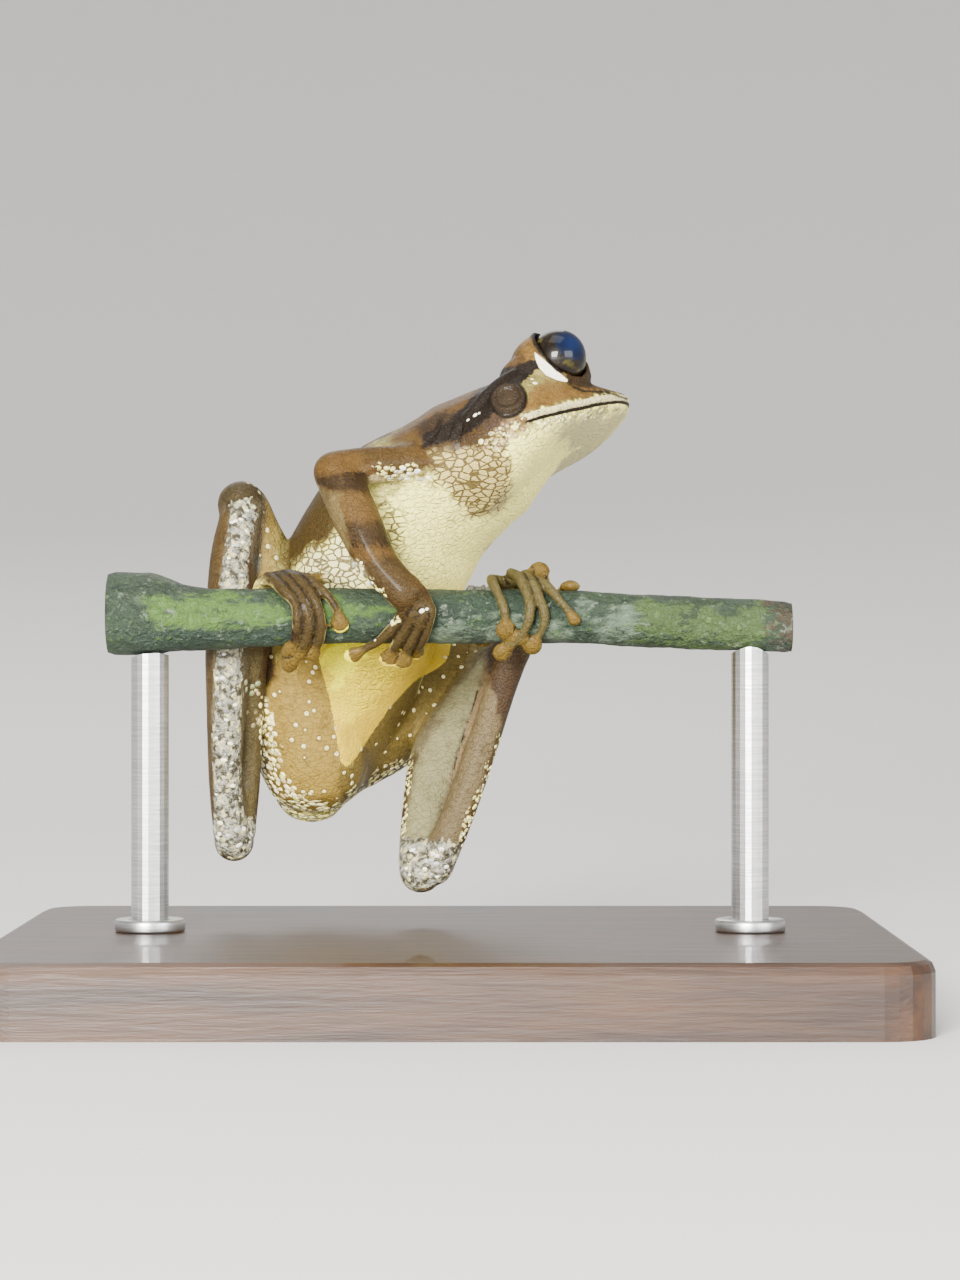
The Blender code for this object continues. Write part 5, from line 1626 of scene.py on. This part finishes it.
WHITES = (paint(240, 238, 226), paint(214, 214, 206), paint(250, 248, 234), paint(176, 174, 164))
CREAMS = (paint(246, 236, 192), paint(232, 214, 160), paint(252, 246, 210))
TANS = (paint(206, 172, 118), paint(228, 200, 150), paint(190, 150, 100))
PATCHES: tuple[Patch, ...] = (
    Patch(((230, 508), (250, 502), (254, 530), (246, 590), (222, 590), (228, 540)), 16,
        (0.12, 0.24), WHITES, 1.6),
    Patch(((216, 652), (238, 652), (238, 760), (240, 842), (214, 836)), 26, (0.12, 0.22), WHITES,
        1.6),
    Patch(((208, 828), (250, 820), (254, 835), (250, 848), (212, 846)), 14, (0.14, 0.26), WHITES,
        1.4),
    Patch(((397, 846), (452, 848), (450, 872), (430, 884), (395, 872)), 24, (0.14, 0.26), WHITES,
        1.4),
    Patch(((377, 466), (405, 466), (430, 474), (428, 482), (380, 480)), 10, (0.14, 0.26),
        (WHITES[0], WHITES[1]), 1.5, -0.1),
    Patch(((350, 562), (362, 562), (380, 590), (398, 618), (388, 628), (366, 602)), 24,
        (0.18, 0.34), (WHITES[0], CREAMS[0], CREAMS[2], WHITES[1])),
    Patch(((474, 444), (500, 424), (530, 418), (528, 430), (500, 446), (478, 450)), 26,
        (0.18, 0.34), (*TANS, CREAMS[0])),
    Patch(((534, 424), (560, 416), (606, 412), (608, 417), (562, 423), (536, 431)), 24,
        (0.12, 0.20), CREAMS),
    Patch(((256, 690), (268, 700), (282, 770), (304, 800), (336, 806), (366, 788), (398, 764),
        (404, 772), (366, 806), (330, 828), (296, 822), (264, 790)), 120, (0.16, 0.28), CREAMS, 1.4,
        -0.6),
    Patch(((404, 760), (413, 760), (404, 838), (396, 838)), 22, (0.14, 0.24), CREAMS),
    Patch(((501, 738), (508, 740), (480, 828), (462, 846), (458, 840)), 26, (0.14, 0.24), CREAMS),
    Patch(((244, 682), (262, 680), (260, 694), (246, 696)), 5, (0.3, 0.4), (paint(196, 206, 160),)),
)
# White domes that are painted highlights: picture x, picture y and radius.
PAINTED_HIGHLIGHTS: tuple[tuple[float, float, float], ...] = (
    (535, 383, 0.2), (532, 379, 0.14), (475, 415, 0.2), (479, 413, 0.12), (468, 420, 0.13),
    (361, 563, 0.16), (372, 583, 0.17), (422, 611, 0.22), (427, 609, 0.14), (375, 640, 0.1))


LEAST_FACING = 0.15


@dataclass
class Tubercles:
    """Raised pale tubercles, each a small dome set into the skin, and small white domes that are painted
    highlights.
    """

    sides: int = 9
    rings: int = 3
    flatness: float = 0.5
    sunk: float = 0.5
    seed: int = 11
    tries: int = 30
    apart: float = 0.9
    # How the white domes of painted highlights are drawn out and leaned.
    highlight_stretch: float = 1.3
    highlight_lean: float = 0.4

    def build(self, skin: Skin) -> None:
        """Scatter the domes over their patches, set the white domes of painted highlights, and join them
        in one mesh.
        """
        draw = random.Random(self.seed)
        centres: list[tuple[Array, float]] = []
        domes: list[Array] = []
        tints: list[Colour] = []
        for patch in PATCHES:
            xs, ys = zip(*patch.outline)
            placed = 0
            for _ in range(patch.count * self.tries):
                if placed >= patch.count:
                    break
                x, y = draw.uniform(min(xs), max(xs)), draw.uniform(min(ys), max(ys))
                radius, tint = draw.uniform(*patch.radii), draw.choice(patch.tints)
                if inside_outline(np.array([[x, y]]), patch.outline)[0] < 0:
                    continue
                found = self.find(skin, x, y)
                if found is None:
                    continue
                spot, normal = found
                if self.crowded(spot, radius, centres):
                    continue
                centres.append((spot, radius))
                lean = patch.lean + draw.uniform(-0.3, 0.3)
                domes.append(self.dome(spot, normal, radius, patch.stretch, lean))
                tints.append(tint)
                placed += 1
        # white domes as painted highlights
        for x, y, radius in PAINTED_HIGHLIGHTS:
            found = self.find(skin, x, y)
            if found is not None:
                domes.append(self.dome(*found, radius, self.highlight_stretch, self.highlight_lean))
                tints.append(WHITE)
        each, one = len(domes[0]), self.faces()
        faces = [
            tuple(step * each + index for index in face) for step in range(len(domes)) for face in one]
        piece = shape_piece("frog_tubercles_and_highlights", (np.concatenate(domes) * MM).tolist(), faces)
        piece.data.shade_smooth()
        store(piece, "tint", np.repeat(np.array(tints), each, axis=0))
        dress(piece, WartFinish().make("tubercle_and_highlight_coat"))

    def crowded(self, spot: Array, radius: float, centres: list[tuple[Array, float]]) -> bool:
        """Tell whether a dome would run into one that is already set."""
        return any(
            norm(spot - other) < self.apart * (radius + reach) for other, reach in centres)

    @staticmethod
    def find(skin: Skin, x: float, y: float) -> Optional[tuple[Array, Array]]:
        """Return the place and direction of the skin seen at a place in the picture.

        Args:
            skin: the finished skin.
            x: the place across the picture.
            y: the place down the picture.

        Returns:
            The place in millimetres and its direction, or None where no skin faces the viewer.
        """
        start, aim = VIEW.ray(x, y)
        hit, normal, _, _ = skin.tree.ray_cast(start, aim)
        if hit is None or normal.dot(-aim) < LEAST_FACING:
            return None
        return np.array(hit) / MM, np.array(normal)

    def dome(self, spot: Array, normal: Array, radius: float, stretch: float, lean: float) -> Array:
        """Return the places of one flattened dome, a little sunk in the skin.

        Args:
            spot: its middle on the skin, in millimetres.
            normal: the skin's direction there.
            radius: half its width.
            stretch: its length over its width.
            lean: the angle of its length in the picture, from the picture's right.

        Returns:
            Its places: the top, then the rings downward.
        """
        across = np.cross(np.cross(normal, (math.cos(lean), 0.0, math.sin(lean))), normal)
        across /= norm(across)
        other = np.cross(normal, across)
        height = radius * self.flatness
        base = spot - normal * height * self.sunk
        points = [base + normal * height]
        for row in range(1, self.rings + 1):
            polar = math.pi / 2 * row / self.rings
            for index in range(self.sides):
                angle = 2 * math.pi * index / self.sides
                out = across * math.cos(angle) * stretch + other * math.sin(angle)
                points.append(base + out * radius * math.sin(polar) + normal * height * math.cos(polar))
        return np.array(points)

    def faces(self) -> list[tuple[int, ...]]:
        """Return the faces of one dome, with its closed underside."""
        last = 1 + (self.rings - 1) * self.sides
        underside = tuple(last + index for index in reversed(range(self.sides)))
        return [*fan_and_rings(self.sides, self.rings), underside]


# --------------------------------------------------------------------------- eyes


@dataclass
class Eye:
    """One eye: a glossy globe with its iris and its wide pupil."""

    side: int
    name: str
    node: str
    pupil_axis: Place = (0.22, 0.97, -0.03)
    pupil_half: tuple[float, float] = (0.63, 0.60)
    bulge: float = 0.05
    segments: int = 96
    rings: int = 64

    def build(self) -> None:
        """Model the globe, mark its pupil and dress it."""
        middle, gaze = HEAD.eye(self.side)
        look = np.array(self.pupil_axis) * (1, self.side, 1) @ HEAD.axes
        look /= norm(look)
        only()
        bpy.ops.mesh.primitive_uv_sphere_add(
            segments=self.segments, ring_count=self.rings, radius=EYE_RADIUS * MM)
        piece = named(self.name)
        level = HEAD.forward - look * (HEAD.forward @ look)
        level /= norm(level)
        upright = np.cross(look, level)
        own = corners(piece)
        own *= (1 + ease(0.6, 1.0, own[:, 2] / EYE_RADIUS) * self.bulge / EYE_RADIUS)[:, None]
        flat = own / EYE_RADIUS
        around = np.hypot(flat[:, 0] / self.pupil_half[0], flat[:, 1] / self.pupil_half[1]) - 1
        turned = own @ np.stack([level, upright, look])
        move(piece, turned + middle)
        store(piece, "pupil", np.where(flat[:, 2] > 0, around, 2.0))
        # edge: where the globe gets painted shade under the lids
        store(piece, "edge", LID_FORWARD + 0.15 - turned @ gaze)
        turn_out(piece)
        bpy.ops.object.shade_smooth()
        dress(piece, EyeFinish().make(f"{self.name}_coat"))
        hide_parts(self.node)


# --------------------------------------------------------------------------- stem and stand

STEM_GREEN = paint(78, 104, 74)
STEM_WASHES: tuple[tuple[Colour, Outline], ...] = (
    (paint(112, 132, 100), ((130, 570), (205, 580), (205, 600), (150, 604), (130, 604))),
    (paint(128, 170, 82), ((146, 602), (200, 597), (292, 598), (294, 622), (232, 632), (150, 630))),
    (paint(122, 162, 80), ((318, 604), (352, 600), (386, 614), (380, 628), (322, 630))),
    (paint(70, 98, 76), ((130, 632), (230, 634), (300, 626), (430, 632), (430, 648), (200, 656),
        (130, 664))),
    (paint(54, 86, 56), ((425, 590), (565, 590), (590, 600), (590, 626), (470, 632), (425, 620))),
    (paint(140, 160, 132), ((440, 626), (520, 622), (560, 632), (560, 648), (440, 648))),
    (paint(146, 168, 142), ((592, 604), (640, 602), (640, 640), (600, 640))),
    (paint(112, 142, 78), ((640, 596), (768, 598), (768, 650), (640, 648))),
    (paint(104, 90, 62), ((768, 596), (810, 596), (810, 656), (772, 656))),
)
MOSS = ((471, 0.34), (477, 0.28), (483, 0.36), (489, 0.26), (480, 0.2))


@dataclass
class Stem:
    """The cut length of stem, with its bark, a swollen leaf base and two cut ends."""

    half_length: float = 29.0
    sides: int = 96
    spans: int = 260
    proud: float = 0.06
    worn_rim: float = 0.16
    dished: float = 0.10
    insets: tuple[float, ...] = (0.04, 0.10, 0.25, 0.25)
    smooth_degrees: float = 50.0

    def build(self) -> None:
        """Model the stem from a cylinder and dress it."""
        only()
        bpy.ops.mesh.primitive_cylinder_add(
            vertices=self.sides, radius=1.0, depth=2.0, end_fill_type="NGON",
            rotation=(0.0, math.pi / 2, 0.0))
        piece = named("stem_bark")
        bpy.ops.object.transform_apply(location=True, rotation=True, scale=True)
        choose(piece, lambda face: len(face.vertices) > 4)
        with editing(piece):
            for thickness in self.insets:
                bpy.ops.mesh.inset(thickness=thickness, depth=0.0, use_individual=True)
            bpy.ops.mesh.poke()
            bpy.ops.mesh.select_all(action="DESELECT")
            bpy.ops.mesh.select_mode(type="EDGE")
        for edge in piece.data.edges:
            ends = [piece.data.vertices[index].co.x for index in edge.vertices]
            edge.select = abs(ends[0] - ends[1]) > 1.0
        with editing(piece):
            bpy.ops.mesh.subdivide(number_cuts=self.spans)
        self.shape(piece)
        turn_out(piece)
        bpy.ops.object.shade_smooth_by_angle(angle=math.radians(self.smooth_degrees))
        self.colour(piece)
        dress(piece, BarkFinish().make("stem_coat"))
        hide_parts("perch_stem")

    def shape(self, piece: Piece) -> None:
        """Give the stem its girth, its slope, its bark and its swollen left end."""
        points = rows(piece.data.vertices, "co")
        radial = np.hypot(points[:, 1], points[:, 2])
        x = points[:, 0] * self.half_length
        girth = np.interp(x, STEM_X, STEM_RADIUS) + self.proud
        angle = np.arctan2(points[:, 2], points[:, 1])
        rough = 0.04 * np.sin(3 * angle + 0.35 * x) + 0.03 * np.sin(7 * angle - 0.9 * x + 1.0)
        rough += 0.02 * np.sin(2.1 * x + 2 * angle) + 0.015 * np.sin(5.3 * x - 4 * angle)
        bark = radial > 0.999
        rim = np.abs(points[:, 0]) > 0.999
        reach = radial * (girth + np.where(bark, rough, 0.6 * rough * radial))
        reach -= np.where(rim & bark, self.worn_rim, 0.0)
        dish = np.where(rim, self.dished * (1 - radial ** 2) * -np.sign(points[:, 0]), 0.0)
        y = np.where(radial < TINY, 0.0, reach * np.cos(angle))
        z = np.interp(x, STEM_X, STEM_HEIGHT) + reach * np.sin(angle)
        move(piece, np.stack([x + dish, y, z], 1))
        store(piece, "wood", np.where(rim & (radial < 0.93), 1.0, 0.0))

    @staticmethod
    def colour(piece: Piece) -> None:
        """Paint the bark's zones; the far side repeats them."""
        points = corners(piece)
        near = points * (1, 0, 1) - (0, 2.3, 0)
        uneven = ripple(points, 0.22, 8) * 0.6 + ripple(points, 0.8, 9) * 0.5
        uneven += ripple(points, 1.5, 10) * 0.25
        tone = np.tile(np.array(STEM_GREEN), (len(points), 1))
        for colour, outline in STEM_WASHES:
            share = ease(-0.2, 0.2, inside_outline(VIEW.pixels(near), outline) + uneven)[:, None]
            tone += share * (np.array(colour) - tone)
        store(piece, "tone", tone)


@dataclass
class Moss:
    """Small pale lumps of moss that sit on top of the stem."""

    colour: Colour = paint(150, 150, 128)
    uneven: float = 0.16

    def build(self) -> None:
        """Raise a few uneven lumps from spheres and join them."""
        lumps = []
        for index, (x, radius) in enumerate(MOSS):
            along = (x - VIEW.centre[0]) * VIEW.scale + VIEW.across
            at = on_stem(along, 8 - 9 * (index % 3), 0.35 * radius)
            only()
            bpy.ops.mesh.primitive_ico_sphere_add(
                subdivisions=3, radius=radius * MM, location=tuple(value * MM for value in at))
            lump = bpy.context.object
            bpy.ops.object.transform_apply(location=True, rotation=True, scale=True)
            points = corners(lump)
            swell = 1 + self.uneven * ripple(points, 1.6, 20 + index)
            move(lump, np.array(at) + (points - np.array(at)) * swell[:, None])
            lumps.append(lump)
        only(*lumps)
        bpy.ops.object.join()
        piece = named("stem_moss")
        bpy.ops.object.shade_smooth()
        store(piece, "tone", np.tile(np.array(self.colour), (len(piece.data.vertices), 1)))
        store(piece, "wood", np.zeros(len(piece.data.vertices)))
        bpy.context.scene.cursor.location = (0.0, 0.0, 0.0)
        bpy.ops.object.origin_set(type="ORIGIN_CURSOR")
        dress(piece, BarkFinish().make("moss_coat"))


@dataclass
class Stand:
    """The display stand: its wooden base and steel rods keep their solids and gain collars."""

    rod_at: float = 25.5
    rod_radius: float = 1.6
    base_top: float = 6.0
    collar: tuple[float, float] = (3.0, 1.1)
    collar_sides: int = 48
    clearance: float = 0.1
    rounding: float = 0.25
    smooth_degrees: float = 40.0

    def build(self) -> None:
        """Dress the stand's nodes and add a collar at each rod's foot."""
        wood = WoodFinish().make("stand_wood_coat")
        steel = SteelFinish().make("stand_steel_coat")
        for node, material in (
            ("stand_base", wood), ("stand_rod_left", steel), ("stand_rod_right", steel),
        ):
            piece = frame["nodes"][node]
            piece.data.materials.clear()
            piece.data.materials.append(material)
            LOG.info("%s: %d faces", piece.name, len(piece.data.polygons))
        for name, x in (("stand_collar_left", -self.rod_at), ("stand_collar_right", self.rod_at)):
            self.add_collar(name, x, steel)

    def add_collar(self, name: str, x: float, steel: Material) -> None:
        """Turn one ring from a cylinder and round its edges."""
        wide, tall = self.collar
        only()
        bpy.ops.mesh.primitive_cylinder_add(
            vertices=self.collar_sides, radius=wide * MM, depth=tall * MM,
            location=(x * MM, 0.0, (self.base_top + tall / 2) * MM))
        piece = named(name)
        choose(piece, lambda face: abs(face.normal.z) > 0.9)
        with editing(piece):
            ring = wide - self.rod_radius - self.clearance
            bpy.ops.mesh.inset(thickness=ring * MM, depth=0.0, use_individual=True)
            bpy.ops.mesh.bridge_edge_loops()
        bpy.ops.object.transform_apply(location=True, rotation=True, scale=True)
        modify(piece, "BEVEL", width=self.rounding * MM, segments=3, limit_method="ANGLE")
        only(piece)
        bpy.ops.object.shade_smooth_by_angle(angle=math.radians(self.smooth_degrees))
        dress(piece, steel)


# --------------------------------------------------------------------------- stage and light


LIGHTS: dict[str, tuple[Place, float, float, Colour]] = {
    "key_light": ((-0.16, -0.60, 0.17), 0.22, 15.0, (1.0, 0.985, 0.95)),
    "fill_light": ((0.42, -0.46, 0.10), 0.40, 6.5, (0.99, 0.99, 1.0)),
    "top_light": ((-0.05, -0.10, 0.62), 0.40, 1.6, (1.0, 1.0, 1.0)),
    "rim_light": ((-0.10, 0.50, 0.40), 0.36, 1.4, (1.0, 1.0, 1.0)),
}


@dataclass
class Studio:
    """A pale round floor that sweeps up softly all round, and soft lights."""

    flat_radius: float = 0.34
    sweep: float = 1.5
    height: float = 1.1
    steepness: float = 2.2
    steps: int = 28
    sides: int = 128
    air: Colour = (0.95, 0.95, 0.94)
    air_strength: float = 0.6
    aim: Place = (0.0, 0.01, 0.035)

    def build(self) -> None:
        """Add the floor, the lights and the world's own light."""
        self.add_floor()
        for name, (at, size, power, colour) in LIGHTS.items():
            self.add_light(name, at, size, power, colour)
        world = bpy.data.worlds.new("studio_air")
        world.use_nodes = True
        background = world.node_tree.nodes["Background"]
        background.inputs["Color"].default_value = (*self.air, 1.0)
        background.inputs["Strength"].default_value = self.air_strength
        bpy.context.scene.world = world

    def add_floor(self) -> None:
        """Spin a profile that is flat under the stand and rises ever more steeply further out."""
        turns = [2 * math.pi * index / self.sides for index in range(self.sides)]
        verts = [(0.0, 0.0, 0.0)]
        for step in range(self.steps + 1):
            radius = self.flat_radius + self.sweep * step / self.steps
            height = self.height * ((radius - self.flat_radius) / self.sweep) ** self.steepness
            verts += [(radius * math.cos(turn), radius * math.sin(turn), height) for turn in turns]
        floor = shape_piece("studio_floor", verts, fan_and_rings(self.sides, self.steps + 1))
        floor.data.shade_smooth()
        floor.data.materials.append(StageFinish().make("studio_floor_coat"))

    def add_light(self, name: str, at: Place, size: float, power: float, colour: Colour) -> None:
        """Add a square soft light that aims at the frog.

        Args:
            name: the light's name.
            at: where it stands, in metres.
            size: the length of its sides, in metres.
            power: its power in watts.
            colour: its colour in linear light.
        """
        data = bpy.data.lights.new(name, "AREA")
        data.shape = "SQUARE"
        data.size = size
        data.energy = power
        data.color = colour
        light = bpy.data.objects.new(name, data)
        light.location = at
        light.rotation_euler = (Vector(at) - Vector(self.aim)).to_track_quat("Z", "Y").to_euler()
        bpy.context.scene.collection.objects.link(light)


def main() -> None:
    """Build every piece in order."""
    logging.basicConfig(level=logging.INFO, format="%(message)s")
    VIEW.make()
    skin = Skin()
    skin.build()
    Tubercles().build(skin)
    Eye(-1, "eye_globe_right", "eye_right").build()
    Eye(1, "eye_globe_left", "eye_left").build()
    Stem().build()
    Moss().build()
    Stand().build()
    Studio().build()


if __name__ == "__main__":
    main()
